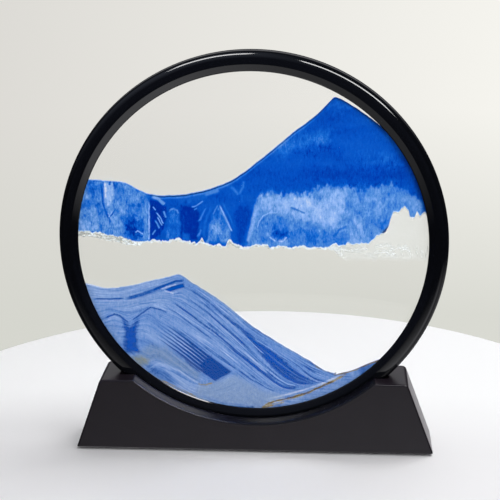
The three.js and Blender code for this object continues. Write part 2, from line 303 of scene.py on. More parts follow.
class NodeSketch:
    """Places nodes in a node tree and joins them."""

    def __init__(self, tree: bpy.types.NodeTree) -> None:
        """Starts from an empty tree."""
        self.tree = tree
        tree.nodes.clear()

    def feed(self, node: bpy.types.Node, inputs: dict[str | int, object]) -> None:
        """Gives inputs of a node what they take.

        Args:
            node: The node.
            inputs: Value, or output socket to join, of each input by name or place.
        """
        for key, value in inputs.items():
            if isinstance(value, bpy.types.NodeSocket):
                self.tree.links.new(value, node.inputs[key])
            else:
                node.inputs[key].default_value = value

    def add(
        self,
        kind: str,
        inputs: dict[str | int, object] | None = None,
        settings: dict[str, object] | None = None,
    ) -> bpy.types.Node:
        """Adds one node.

        Args:
            kind: Type of the node, without its ShaderNode prefix.
            inputs: Value, or output socket to join, of each input by name or place.
            settings: The node's own properties.

        Returns:
            The node.
        """
        prefix = "" if kind.startswith("NodeGroup") else "ShaderNode"
        node = self.tree.nodes.new(prefix + kind)
        for key, value in (settings or {}).items():
            setattr(node, key, value)
        self.feed(node, inputs or {})
        return node

    def math(self, operation: str, *values: object) -> bpy.types.NodeSocket:
        """Adds a Math node of an operation on values or sockets and returns its result."""
        node = self.add("Math", dict(enumerate(values)), {"operation": operation})
        return node.outputs[0]

    def centred(self, noise: bpy.types.NodeSocket) -> bpy.types.NodeSocket:
        """Takes the middle out of a noise, so that it varies about 0."""
        return self.math("SUBTRACT", noise, NOISE_MIDDLE)

    def vector(self, operation: str, *values: object) -> bpy.types.NodeSocket:
        """Adds a Vector Math node of an operation on vectors or sockets and returns its result."""
        node = self.add("VectorMath", dict(enumerate(values)), {"operation": operation})
        return node.outputs["Value" if operation == "LENGTH" else "Vector"]

    def noise(
        self, place: object, scale: object, detail: float, roughness: float = 0.5, distortion: float = 0.0
    ) -> bpy.types.NodeSocket:
        """Adds a noise texture.

        Args:
            place: Coordinates.
            scale: Scale of the noise, as a number or socket.
            detail: How many finer copies are added.
            roughness: Weight of the finer copies.
            distortion: How far the noise is warped.

        Returns:
            The noise.
        """
        inputs = {"Vector": place, "Scale": scale, "Detail": detail}
        inputs |= {"Roughness": roughness, "Distortion": distortion}
        return self.add("TexNoise", inputs).outputs[0]

    def remap(
        self, value: object, low: float, high: float, to_low: object = 0.0, to_high: object = 1.0
    ) -> bpy.types.NodeSocket:
        """Carries one range of values to another and stops at its ends.

        Args:
            value: Socket with the values.
            low: Start of their range.
            high: End of their range.
            to_low: What the start becomes.
            to_high: What the end becomes.

        Returns:
            The carried values.
        """
        return self.add("MapRange", {0: value, 1: low, 2: high, 3: to_low, 4: to_high}).outputs[0]

    def bump(self, strength: float, distance: float, height: bpy.types.NodeSocket) -> bpy.types.NodeSocket:
        """Adds a bump of a strength over a distance and returns its normal."""
        return self.add("Bump", {"Strength": strength, "Distance": distance, "Height": height}).outputs[0]

    def stored(self, share: Share) -> bpy.types.NodeSocket:
        """Reads what is stored at each point of the sand."""
        return self.add("Attribute", {}, {"attribute_name": share.value}).outputs["Fac"]

    def ramp(self, share: bpy.types.NodeSocket, stops: Sequence[tuple[float, tuple]]) -> bpy.types.NodeSocket:
        """Adds a colour ramp.

        Args:
            share: Socket that picks the place on the ramp.
            stops: Place and colour of each stop.

        Returns:
            The ramp's colour.
        """
        node = self.add("ValToRGB", {"Fac": share})
        elements = node.color_ramp.elements
        while len(elements) < len(stops):
            elements.new(1.0)
        for element, (place, colour) in zip(elements, stops):
            element.position = place
            element.color = colour
        return node.outputs["Color"]

    def blend(self, share: object, low: object, high: object) -> bpy.types.NodeSocket:
        """Mixes two colours.

        Args:
            share: Share of the second colour, as a number or socket.
            low: First colour or socket.
            high: Second colour or socket.

        Returns:
            The mixed colour.
        """
        node = self.add("Mix", {0: share, 6: low, 7: high}, {"data_type": "RGBA"})
        return node.outputs[2]


class Effects:
    """Shader node groups that more than one finish uses."""

    UPWARD = (0.35, 0.95, 0.12, 1.0)
    DRIFT_SCALE = 45.0
    DRIFT_EDGE = (0.35, 0.75)
    DRIFT_SHARE = 0.3
    SPECK_EDGE = (0.55, 0.8)
    SPECK_SHARE = 0.7
    WAVE_SCALE = 60.0
    HAIR_TURN = (0.4, 0.9, 0.2)
    HAIR_STRETCH = (900.0, 25.0, 400.0)
    HAIR_EDGE = (0.62, 0.75)
    CLUMP_SCALE = 650.0
    ROUGH = 0.7
    PICK_WEIGHT = 0.45
    CLUMP_WEIGHT = 2.6
    FLECK_WEIGHT = 0.9
    FLECK_SCALE = 1200.0
    FLECK_STRETCH = (1.0, 1.0, 0.36)
    FLECK_WARP = 0.4
    FLECK_EDGE = (0.52, 0.7)
    RIGHT_FLECKS = (0.9, 0.0)
    LEFT_FLECKS = (-0.8, 0.3)
    DARK_FLECKS = (0.3, 0.7)
    BED_RUN = 32.0
    BED_SCALE = 1.6
    SEAM_SCALE = 0.6
    SEAM_EDGE = (0.0, 0.03, -0.22, 0.0)
    HALF_LANE = 0.5
    COMB_EDGE = (1.0, 1.2)
    COMB_TONE = 0.04
    GRAIN_ROUGHNESS = (0.25, 0.65)

    def __init__(self) -> None:
        """Builds each group once."""
        self.dust = self._dust()
        self.moulding = self._moulding()
        self.sand = self._sand()

    @staticmethod
    def _group(
        name: str, inputs: dict[str, str], outputs: dict[str, str]
    ) -> tuple[NodeSketch, dict[str, bpy.types.NodeSocket], bpy.types.Node]:
        """Opens an empty group.

        Args:
            name: Name of the group.
            inputs: Socket type of each input by name.
            outputs: Socket type of each output by name.

        Returns:
            The sketch, the sockets of the inputs, and the node that takes the outputs.
        """
        tree = bpy.data.node_groups.new(name, "ShaderNodeTree")
        for direction, sockets in (("INPUT", inputs), ("OUTPUT", outputs)):
            for label, kind in sockets.items():
                tree.interface.new_socket(label, in_out=direction, socket_type="NodeSocket" + kind)
        sketch = NodeSketch(tree)
        entry = sketch.add("NodeGroupInput")
        leave = sketch.add("NodeGroupOutput")
        return sketch, dict(entry.outputs.items()), leave

    def _dust(self) -> bpy.types.NodeTree:
        """Builds fine dust that settles on faces that look up.

        Returns:
            The group, with the dust as a mask.
        """
        sketch, entry, leave = self._group(
            "settled_dust",
            {"Vector": "Vector", "Amount": "Float", "Speck Scale": "Float"},
            {"Mask": "Float"},
        )
        place = entry["Vector"]
        normal = sketch.add("NewGeometry").outputs["Normal"]
        facing = sketch.remap(sketch.add("SeparateXYZ", {0: normal}).outputs["Z"], *self.UPWARD)
        drift = sketch.remap(sketch.noise(place, self.DRIFT_SCALE, FINER), *self.DRIFT_EDGE)
        specks = sketch.remap(sketch.noise(place, entry["Speck Scale"], SOFT), *self.SPECK_EDGE)
        drift = sketch.math("MULTIPLY", drift, self.DRIFT_SHARE)
        share = sketch.math("MULTIPLY", facing, sketch.math("MULTIPLY_ADD", specks, self.SPECK_SHARE, drift))
        sketch.feed(leave, {"Mask": sketch.math("MULTIPLY", share, entry["Amount"])})
        return sketch.tree

    def _moulding(self) -> bpy.types.NodeTree:
        """Builds the surface of moulded plastic: a slow waviness, a fine grain and hairline handling marks.

        Returns:
            The group, with the surface's height and its marks.
        """
        sketch, entry, leave = self._group(
            "moulded_surface",
            {"Vector": "Vector", "Grain Scale": "Float", "Grain": "Float", "Waviness": "Float"},
            {"Height": "Float", "Marks": "Float"},
        )
        place = entry["Vector"]
        wave = sketch.noise(place, self.WAVE_SCALE, SOFT)
        grain = sketch.math("MULTIPLY", sketch.noise(place, entry["Grain Scale"], FINE), entry["Grain"])
        stretch = {0: place, "Rotation": self.HAIR_TURN, "Scale": self.HAIR_STRETCH}
        hair = sketch.noise(sketch.add("Mapping", stretch).outputs[0], 1.0, SOFT)
        height = sketch.math("MULTIPLY_ADD", wave, entry["Waviness"], grain)
        sketch.feed(leave, {"Height": height, "Marks": sketch.remap(hair, *self.HAIR_EDGE)})
        return sketch.tree

    def _sand(self) -> bpy.types.NodeTree:
        """Builds mixed sand: a local share of pale grains, raised in places by painted highlights, varied by
        grains, clumps, flecks and thin layers.

        Returns:
            The group, with the share of pale grains, a number for each grain, and the grains' relief.
        """
        labels = ("Pale", "Speckle", "Layer", "Strata", "Lane", "Stripes", "Grain Scale")
        results = ("Share", "Pick", "Height", "Roughness")
        sketch, entry, leave = self._group(
            "mixed_grains",
            {"Vector": "Vector"} | dict.fromkeys(labels, "Float"),
            dict.fromkeys(results, "Float"),
        )
        place = entry["Vector"]
        cells = sketch.add("TexVoronoi", {"Vector": place, "Scale": entry["Grain Scale"]})
        pick = sketch.add("SeparateColor", {0: cells.outputs["Color"]}).outputs[0]
        clumps = sketch.noise(place, self.CLUMP_SCALE, FINER, self.ROUGH)
        right, left, dark = (
            self._flecks(sketch, place, lean, shift)
            for lean, shift in (self.RIGHT_FLECKS, self.LEFT_FLECKS, self.DARK_FLECKS)
        )
        lean = sketch.math("MULTIPLY", sketch.centred(pick), self.PICK_WEIGHT)
        lean = sketch.math("MULTIPLY_ADD", sketch.centred(clumps), self.CLUMP_WEIGHT, lean)
        lean = sketch.math("MULTIPLY_ADD", sketch.math("MAXIMUM", right, left), self.FLECK_WEIGHT, lean)
        lean = sketch.math("MULTIPLY_ADD", dark, -self.FLECK_WEIGHT, lean)
        share = sketch.math("MULTIPLY_ADD", lean, entry["Speckle"], entry["Pale"])
        across = sketch.add("SeparateXYZ", {0: place}).outputs["X"]
        run = sketch.math("MULTIPLY", across, self.BED_RUN)
        bed = sketch.add("CombineXYZ", {0: entry["Layer"], 1: run}).outputs[0]
        beds = sketch.noise(bed, self.BED_SCALE, FINER, self.ROUGH)
        share = sketch.math("MULTIPLY_ADD", sketch.centred(beds), entry["Strata"], share)
        seams = sketch.math("ABSOLUTE", sketch.centred(sketch.noise(bed, self.SEAM_SCALE, SOFT)))
        thin = sketch.remap(seams, *self.SEAM_EDGE)
        share = sketch.math("MULTIPLY_ADD", thin, entry["Strata"], share)
        wave = sketch.math("DIVIDE", sketch.math("PINGPONG", entry["Lane"], self.HALF_LANE), self.HALF_LANE)
        comb = sketch.remap(sketch.math("ADD", wave, entry["Stripes"]), *self.COMB_EDGE)
        share = sketch.math("MULTIPLY_ADD", comb, sketch.math("SUBTRACT", self.COMB_TONE, share), share)
        relief = sketch.math("SUBTRACT", 1.0, cells.outputs["Distance"])
        rough = sketch.math("MULTIPLY_ADD", pick, *self.GRAIN_ROUGHNESS)
        sketch.feed(leave, {"Share": share, "Pick": pick, "Height": relief, "Roughness": rough})
        return sketch.tree

    def _flecks(
        self, sketch: NodeSketch, place: bpy.types.NodeSocket, lean: float, shift: float
    ) -> bpy.types.NodeSocket:
        """Adds thin upright flecks.

        Args:
            sketch: Where the nodes go.
            place: Coordinates.
            lean: How far the flecks lean from upright, in radians.
            shift: Moves the flecks, so that two sets differ.

        Returns:
            How far each point lies on a fleck, from 0 to 1.
        """
        stretch = {"Rotation": (0.0, lean, 0.0), "Scale": self.FLECK_STRETCH}
        leaning = sketch.add("Mapping", {0: place, "Location": (shift, shift, 0.0)} | stretch).outputs[0]
        noise = sketch.noise(leaning, self.FLECK_SCALE, SOFT, distortion=self.FLECK_WARP)
        return sketch.remap(noise, *self.FLECK_EDGE)


class Share(Enum):
    """What is stored at each point of the sand, as the name of its attribute."""

    # Share of pale grains, also raised by painted highlights along the sand's edges.
    PALE = "pale"
    GOLD = "gold"
    # Share of murky grains, also holding painted shade along the sand's edges and painted shadow lines in the
    # film.
    MURK_AND_SHADE = "murk"
    SPECKLE = "speckle"
    LAYER = "layer"
    STRATA = "strata"
    LANE = "lane"
    STRIPES = "stripes"

    def mixes(self) -> bool:
        """Whether the mixed grains take it as an input."""
        return self not in (Share.GOLD, Share.MURK_AND_SHADE)


class Finish:
    """A finish that makes its own material."""

    name: str

    def start(self) -> tuple[bpy.types.Material, NodeSketch, bpy.types.Node, bpy.types.NodeSocket]:
        """Opens the material.

        Returns:
            The material, its sketch, its main shader and the object coordinates.
        """
        material = bpy.data.materials.new(self.name)
        material.use_nodes = True
        sketch = NodeSketch(material.node_tree)
        shader = sketch.add("BsdfPrincipled")
        sketch.add("OutputMaterial", {"Surface": shader.outputs[0]})
        place = sketch.add("TexCoord").outputs["Object"]
        return material, sketch, shader, place


@dataclass(frozen=True)
class MouldedPlastic(Finish):
    """Black moulded plastic with dust, grain and handling marks, a painted sheen at a slant and painted shade
    in the stand's hollow.
    """

    effects: Effects
    name: str
    colour: Colour
    dusty: Colour
    roughness: float
    marked_roughness: float
    specular: float
    grain_scale: float
    grain: float
    waviness: float
    bump: float
    dust: float
    # Painted sheen: how pale the colour turns where the surface is seen at a slant.
    painted_sheen: float = 0.0
    painted_sheen_colour: Colour = srgb(228, 225, 228)
    painted_sheen_edge: Point = (0.84, 0.94)
    # Painted shade in the stand's hollow under the wheel: its reach, its colours at the left and the right,
    # and how far it covers.
    hollow_radius: float = 0.0
    hollow_edge: Point = (0.2, 0.5)
    hollow_shade_left: Colour = srgb(44, 46, 66)
    hollow_shade_right: Colour = srgb(4, 5, 14)
    hollow_turn: Point = (-0.04, 0.0)
    hollow_shift: float = -0.0005
    hollow_shade_share: float = 0.85
    hollow_polish: float = -0.12
    speck_scale: float = 1400.0
    mottle_scale: float = 90.0
    mottle_edge: Point = (0.3, 0.7)
    mottle_tone: float = 0.85
    dust_roughness: float = 0.4

    def material(self) -> bpy.types.Material:
        """Builds the material.

        Returns:
            The plastic, with painted shade in the stand's hollow, lighter at its left than at its right, and
            a painted sheen where it is seen at a slant.
        """
        material, sketch, shader, place = self.start()
        grain = {"Grain Scale": self.grain_scale, "Grain": self.grain, "Waviness": self.waviness}
        surface = sketch.add("Group", {"Vector": place} | grain, {"node_tree": self.effects.moulding})
        specks = {"Amount": self.dust, "Speck Scale": self.speck_scale}
        dust = sketch.add("Group", {"Vector": place} | specks, {"node_tree": self.effects.dust})
        cloud = sketch.noise(place, self.mottle_scale, FINE)
        dark = [self.mottle_tone * part for part in self.colour[:3]] + [1.0]
        shade = sketch.ramp(cloud, tuple(zip(self.mottle_edge, (dark, self.colour))))
        colour = sketch.blend(dust.outputs["Mask"], shade, self.dusty)
        # Painted shade: the stand's hollow under the wheel is darkened, lighter at its left and darkest at
        # its right.
        middle = sketch.vector("SUBTRACT", place, mm(0, 0, AXIS_HEIGHT))
        reach = sketch.vector("LENGTH", sketch.vector("MULTIPLY", middle, (1.0, 0.0, 1.0)))
        rightward = sketch.remap(sketch.add("SeparateXYZ", {0: middle}).outputs["X"], *self.hollow_turn)
        inward = sketch.math("MULTIPLY_ADD", rightward, self.hollow_shift, reach)
        edges = mm(*(self.hollow_radius + edge for edge in self.hollow_edge))
        shaded = sketch.remap(inward, *edges, self.hollow_shade_share, 0.0)
        colour = sketch.blend(shaded, colour, sketch.blend(rightward, self.hollow_shade_left, self.hollow_shade_right))
        # Painted sheen: the base colour turns pale where the surface is seen at a slant.
        grazing = sketch.add("LayerWeight").outputs["Facing"]
        painted_sheen = sketch.remap(grazing, *self.painted_sheen_edge, 0.0, self.painted_sheen)
        worn = sketch.remap(surface.outputs["Marks"], 0.0, 1.0, self.roughness, self.marked_roughness)
        rough = sketch.math("MULTIPLY_ADD", dust.outputs["Mask"], self.dust_roughness, worn)
        finish = {
            "Base Color": sketch.blend(painted_sheen, colour, self.painted_sheen_colour),
            "Roughness": sketch.math("MULTIPLY_ADD", shaded, self.hollow_polish, rough),
            "Normal": sketch.bump(self.bump, GRAIN_BUMP, surface.outputs["Height"]),
            "Specular IOR Level": self.specular,
        }
        sketch.feed(shader, finish)
        return material


@dataclass(frozen=True)
class ClearFill(Finish):
    """Clear glass or liquid."""

    name: str
    tint: Colour
    ior: float
    specular: float
    roughness: float = 0.0
    smudge: float = 0.0
    smudge_scale: float = 30.0
    smudge_edge: Point = (0.5, 0.8)

    def material(self) -> bpy.types.Material:
        """Builds the material.

        Returns:
            The clear material, with faint smudges in its roughness.
        """
        material, sketch, shader, place = self.start()
        cloud = sketch.noise(place, self.smudge_scale, FINEST)
        finish = {
            "Base Color": self.tint,
            "Roughness": sketch.remap(cloud, *self.smudge_edge, self.roughness, self.smudge),
            "IOR": self.ior,
            "Specular IOR Level": self.specular,
            "Transmission Weight": 1.0,
        }
        sketch.feed(shader, finish)
        return material


@dataclass(frozen=True)
class SandFinish(Finish):
    """Wet sand behind glass, coloured by the share of pale, gold and murky grains at each point, with painted
    highlights in the pale share and painted shade in the murky share.
    """

    effects: Effects
    name: str
    blues: tuple[tuple[float, Colour], ...]
    murk: Colour
    grain_scale: float = 2600.0
    golds: tuple[tuple[float, Colour], ...] = (
        (0.1, srgb(88, 74, 42)),
        (0.5, srgb(150, 134, 94)),
        (0.9, srgb(210, 200, 172)),
    )
    gold_pick: float = 0.55
    gold_edge: Point = (0.2, 0.75)
    murk_pick: Point = (0.6, 0.7)
    relief: float = 0.2

    def material(self) -> bpy.types.Material:
        """Builds the material from the piece's own grain shares.

        Returns:
            The sand.
        """
        material, sketch, shader, place = self.start()
        read = {share: sketch.stored(share) for share in Share}
        inputs = {"Vector": place, "Grain Scale": self.grain_scale}
        inputs |= {share.value.capitalize(): read[share] for share in Share if share.mixes()}
        grains = sketch.add("Group", inputs, {"node_tree": self.effects.sand})
        share, pick = grains.outputs["Share"], grains.outputs["Pick"]
        drawn = sketch.math("MULTIPLY", read[Share.GOLD], sketch.math("ADD", pick, self.gold_pick))
        gilt = sketch.remap(drawn, *self.gold_edge)
        colour = sketch.blend(gilt, sketch.ramp(share, self.blues), sketch.ramp(share, self.golds))
        murky_and_shaded = sketch.math("MULTIPLY", read[Share.MURK_AND_SHADE], sketch.math("MULTIPLY_ADD", pick, *self.murk_pick))
        finish = {
            "Base Color": sketch.blend(sketch.remap(murky_and_shaded, 0.0, 1.0), colour, self.murk),
            "Roughness": grains.outputs["Roughness"],
            "Normal": sketch.bump(self.relief, GRAIN_BUMP, grains.outputs["Height"]),
            "Specular IOR Level": 0.0,
        }
        sketch.feed(shader, finish)
        return material


@dataclass(frozen=True)
class SoftPlastic(Finish):
    """Plain rubber, silicone or plastic of the hidden pieces, with a mottled tone and a fine grain."""

    name: str
    dark: Colour
    light: Colour
    roughness: float
    mottle_scale: float = 400.0
    mottle_edge: Point = (0.3, 0.7)
    roughness_spread: float = 0.2
    relief: float = 0.2

    def material(self) -> bpy.types.Material:
        """Builds the material.

        Returns:
            The mottled plastic.
        """
        material, sketch, shader, place = self.start()
        cloud = sketch.noise(place, self.mottle_scale, FINER)
        smoothest = self.roughness - self.roughness_spread / 2
        finish = {
            "Base Color": sketch.ramp(cloud, tuple(zip(self.mottle_edge, (self.dark, self.light)))),
            "Roughness": sketch.math("MULTIPLY_ADD", cloud, self.roughness_spread, smoothest),
            "Normal": sketch.bump(self.relief, GRAIN_BUMP, cloud),
        }
        sketch.feed(shader, finish)
        return material


@dataclass(frozen=True)
class Froth(Finish):
    """Packed air bubbles: cream, white and grey cells with gaps where they are loose."""

    name: str = "frothy_bubbles"
    tones: tuple[tuple[float, Colour], ...] = (
        (0.2, srgb(132, 142, 122)),
        (0.34, srgb(202, 208, 202)),
        (0.5, srgb(230, 239, 244)),
    )
    cell_scale: float = 1300.0
    cell_tone: float = 0.5
    cloud_scale: float = 700.0
    cloud_tone: float = 0.6
    grey_tone: float = -0.14
    crumb_scale: float = 900.0
    crumb_stretch: tuple[float, float, float] = (0.45, 1.0, 1.3)
    crumb_weight: float = 2.2
    gap_edge: Point = (0.3, 0.65)
    relief: float = 0.25
    relief_depth: float = 0.0002
    roughness: float = 0.35
    specular: float = 0.3

    def material(self) -> bpy.types.Material:
        """Builds the material from how tightly and how clean the bubbles are packed at each point, with
        painted shadow lines kept in the grey share.

        Returns:
            The froth.
        """
        material, sketch, shader, place = self.start()
        distance = sketch.add("TexVoronoi", {"Vector": place, "Scale": self.cell_scale}).outputs["Distance"]
        cloud = sketch.noise(place, self.cloud_scale, FINER)
        packed, grey, dense = (sketch.stored(share) for share in (Share.PALE, Share.MURK_AND_SHADE, Share.LAYER))
        cells = sketch.math("MULTIPLY", distance, self.cell_tone)
        tone = sketch.math("ADD", cells, sketch.math("MULTIPLY", cloud, self.cloud_tone))
        tone = sketch.math("MULTIPLY_ADD", grey, self.grey_tone, tone)
        flat = sketch.add("Mapping", {0: place, "Scale": self.crumb_stretch}).outputs[0]
        crumbs = sketch.centred(sketch.noise(flat, self.crumb_scale, FINE))
        solid = sketch.math("MULTIPLY_ADD", crumbs, self.crumb_weight, packed)
        finish = {
            "Base Color": sketch.ramp(tone, self.tones),
            "Alpha": sketch.remap(solid, *self.gap_edge, 0.0, dense),
            "Normal": sketch.bump(self.relief, self.relief_depth, distance),
            "Roughness": self.roughness,
            "Specular IOR Level": self.specular,
        }
        sketch.feed(shader, finish)
        return material


def smooth_line(points: Line, x: Field) -> Field:
    """Height of a smooth line through points.

    Args:
        points: Points of the line, from left to right.
        x: Where the height is wanted.

    Returns:
        The height at each x, level past the line's ends.
    """
    across = np.array([point[0] for point in points])
    height = np.array([point[1] for point in points])
    slope = np.gradient(height, across)
    left = np.clip(np.searchsorted(across, x) - 1, 0, len(across) - 2)
    span = across[left + 1] - across[left]
    t = np.clip((x - across[left]) / span, 0.0, 1.0)
    rise = height[left] * (1 + 2 * t) * (1 - t) ** 2 + height[left + 1] * t * t * (3 - 2 * t)
    return rise + span * (slope[left] * t * (1 - t) ** 2 - slope[left + 1] * t * t * (1 - t))


def soft_step(low: float, high: float, value: Field) -> Field:
    """Smooth step from 0 at low to 1 at high."""
    t = np.clip((value - low) / (high - low), 0.0, 1.0)
    return t * t * (3 - 2 * t)


def value_noise(x: Field, z: Field, cell: float, seed: int) -> Field:
    """Smooth noise on a square lattice.

    Args:
        x: Places across.
        z: Places up.
        cell: Size of a lattice cell.
        seed: Picks one of many patterns.

    Returns:
        Noise from -1 to 1.
    """
    u, v = x / cell, z / cell
    left, low = np.floor(u), np.floor(v)
    across, up = u - left, v - low
    across, up = across * across * (3 - 2 * across), up * up * (3 - 2 * up)

    def corner(i: Field, j: Field) -> Field:
        """Random value of a lattice point."""
        wave = np.sin(i * ACROSS_HASH + j * UP_HASH + seed * SEED_HASH) * HASH_SCALE
        return 2 * (wave - np.floor(wave)) - 1

    bottom = corner(left, low) * (1 - across) + corner(left + 1, low) * across
    top = corner(left, low + 1) * (1 - across) + corner(left + 1, low + 1) * across
    return bottom * (1 - up) + top * up


def rough_noise(x: Field, z: Field, cell: float, seed: int, octaves: int = 3) -> Field:
    """Noise with finer and weaker copies of itself added.

    Args:
        x: Places across.
        z: Places up.
        cell: Size of the largest cells.
        seed: Picks one of many patterns.
        octaves: How many copies.

    Returns:
        Noise from about -1 to 1.
    """
    total = np.zeros_like(x)
    for octave in range(octaves):
        total += OCTAVE_WEIGHT**octave * value_noise(x, z, cell * OCTAVE_SIZE**octave, seed + octave)
    return total


class MarkKind(Enum):
    """Shape of a mark in the sand."""

    STREAK = "streak"
    PATCH = "patch"


@dataclass(frozen=True)
class Mark:
    """A drift of other grains in the sand, in millimetres from the picture's centre."""

    kind: MarkKind
    points: Line
    value: float
    soft: float
    width: float
    strength: float
    share: Share
    taper: float = 0.2
    end_share: float = 0.4


def streak(
    points: Line,
    width: float,
    value: float,
    strength: float = 1.0,
    soft: float = 0.6,
    share: Share = Share.PALE,
) -> Mark:
    """A thin drift along a line.

    Args:
        points: Points of the line, as read in the photograph.
        width: Width of the drift.
        value: Share of its grains.
        strength: How far it covers what is there.
        soft: Share of its half width over which it fades.
        share: Which grains it is of.

    Returns:
        The mark.
    """
    return Mark(MarkKind.STREAK, PHOTO.line(*points), value, soft, width, strength, share)


def patch(points: Line, value: float, soft: float, strength: float = 1.0, share: Share = Share.PALE) -> Mark:
    """A drift that fills an outline.

    Args:
        points: Points of the outline, as read in the photograph.
        value: Share of its grains.
        soft: How far from its edge it fades.
        strength: How far it covers what is there.
        share: Which grains it is of.

    Returns:
        The mark.
    """
    return Mark(MarkKind.PATCH, PHOTO.line(*points), value, soft, 0.0, strength, share)


class SandCanvas:
    """Shares of the grains at points of the sand, in millimetres from the picture's centre."""

    FAR = 1e9
    TINY = 1e-9
    NO_GAP = 1e-6
    COMB_START = (-0.1, 0.75)
    UP_SEED = 50

    def __init__(self, x: Field, z: Field) -> None:
        """Starts with no shares at all.

        Args:
            x: Places across.
            z: Places up.
        """
        self.x = x
        self.z = z
        self.shares = {share: np.zeros_like(x) for share in Share}

    def _reach(self, points: Line, closed: bool) -> tuple[Field, Field]:
        """Distance from each point to a line, and where on the line that is.

        Args:
            points: Points of the line.
            closed: Whether it runs back to its first point.

        Returns:
            The least distance, and the share of the line's length before the nearest place.
        """
        ends = points[1:] + points[:1] if closed else points[1:]
        nearest, along = np.full_like(self.x, self.FAR), np.zeros_like(self.x)
        passed = 0.0
        for (x0, z0), (x1, z1) in zip(points, ends):
            dx, dz = x1 - x0, z1 - z0
            length = math.hypot(dx, dz)
            t = np.clip(((self.x - x0) * dx + (self.z - z0) * dz) / max(length**2, self.TINY), 0.0, 1.0)
            away = np.hypot(self.x - x0 - t * dx, self.z - z0 - t * dz)
            along = np.where(away < nearest, passed + t * length, along)
            nearest = np.minimum(nearest, away)
            passed += length
        return nearest, along / passed

    def _inside(self, points: Line) -> np.ndarray:
        """Tells which points lie in an outline.

        Args:
            points: Points of the outline.

        Returns:
            True for each point inside.
        """
        inside = np.zeros(self.x.shape, bool)
        for (x0, z0), (x1, z1) in zip(points, points[1:] + points[:1]):
            if z0 != z1:
                crosses = (z0 > self.z) != (z1 > self.z)
                inside ^= crosses & (self.x < (x1 - x0) * (self.z - z0) / (z1 - z0) + x0)
        return inside

    def cover(self, mark: Mark) -> Field:
        """Measures how far a mark covers each point.

        Args:
            mark: The mark.

        Returns:
            Its cover, from 0 to 1.
        """
        if mark.kind is MarkKind.STREAK:
            away, along = self._reach(mark.points, False)
            half = mark.width / 2
            ends = soft_step(0.0, mark.taper, along) * soft_step(0.0, mark.end_share * mark.taper, 1 - along)
            fade = soft_step(half * (1 - mark.soft), half * (1 + mark.soft), away)
            return mark.strength * ends * (1 - fade)
        edge, _ = self._reach(mark.points, True)
        depth = np.where(self._inside(mark.points), edge, -edge)
        return mark.strength * soft_step(-mark.soft, mark.soft, depth)

    def paint(self, marks: Sequence[Mark]) -> None:
        """Lays marks over what is there, one after the other.

        Args:
            marks: The marks, in order.
        """
        for mark in marks:
            laid = self.shares[mark.share]
            laid += self.cover(mark) * (mark.value - laid)

    def comb(self, first: Line, last: Line, teeth: int, width: float) -> None:
        """Lays dark drifts side by side between two lines, which widen as they run.

        Args:
            first: Line along one side of the comb.
            last: Line along the other side.
            teeth: How many drifts.
            width: Share of the comb that the drifts fill at its end.
        """
        over, along = self._reach(first, False)
        under, _ = self._reach(last, False)
        self.shares[Share.LANE] += teeth * over / np.maximum(over + under, self.NO_GAP)
        drawn = self._inside(first + last[::-1]) * width
        self.shares[Share.STRIPES] += drawn * soft_step(*self.COMB_START, along)

    @contextmanager
    def strayed(self, amount: float, cell: float, seed: int, upright: float = 1.0) -> Iterator[None]:
        """Moves the points about while marks are laid, so that those come out frayed.

        Args:
            amount: How far points stray.
            cell: Size of the fraying.
            seed: Picks one of many patterns.
            upright: How much longer than wide the fraying is.

        Returns:
            Nothing, while the points are moved.
        """
        kept = self.x, self.z
        across = rough_noise(self.x, self.z / upright, cell, seed)
        up = rough_noise(self.x, self.z / upright, cell, seed + self.UP_SEED)
        self.x = self.x + amount * across
        self.z = self.z + amount * upright * up
        yield
        self.x, self.z = kept


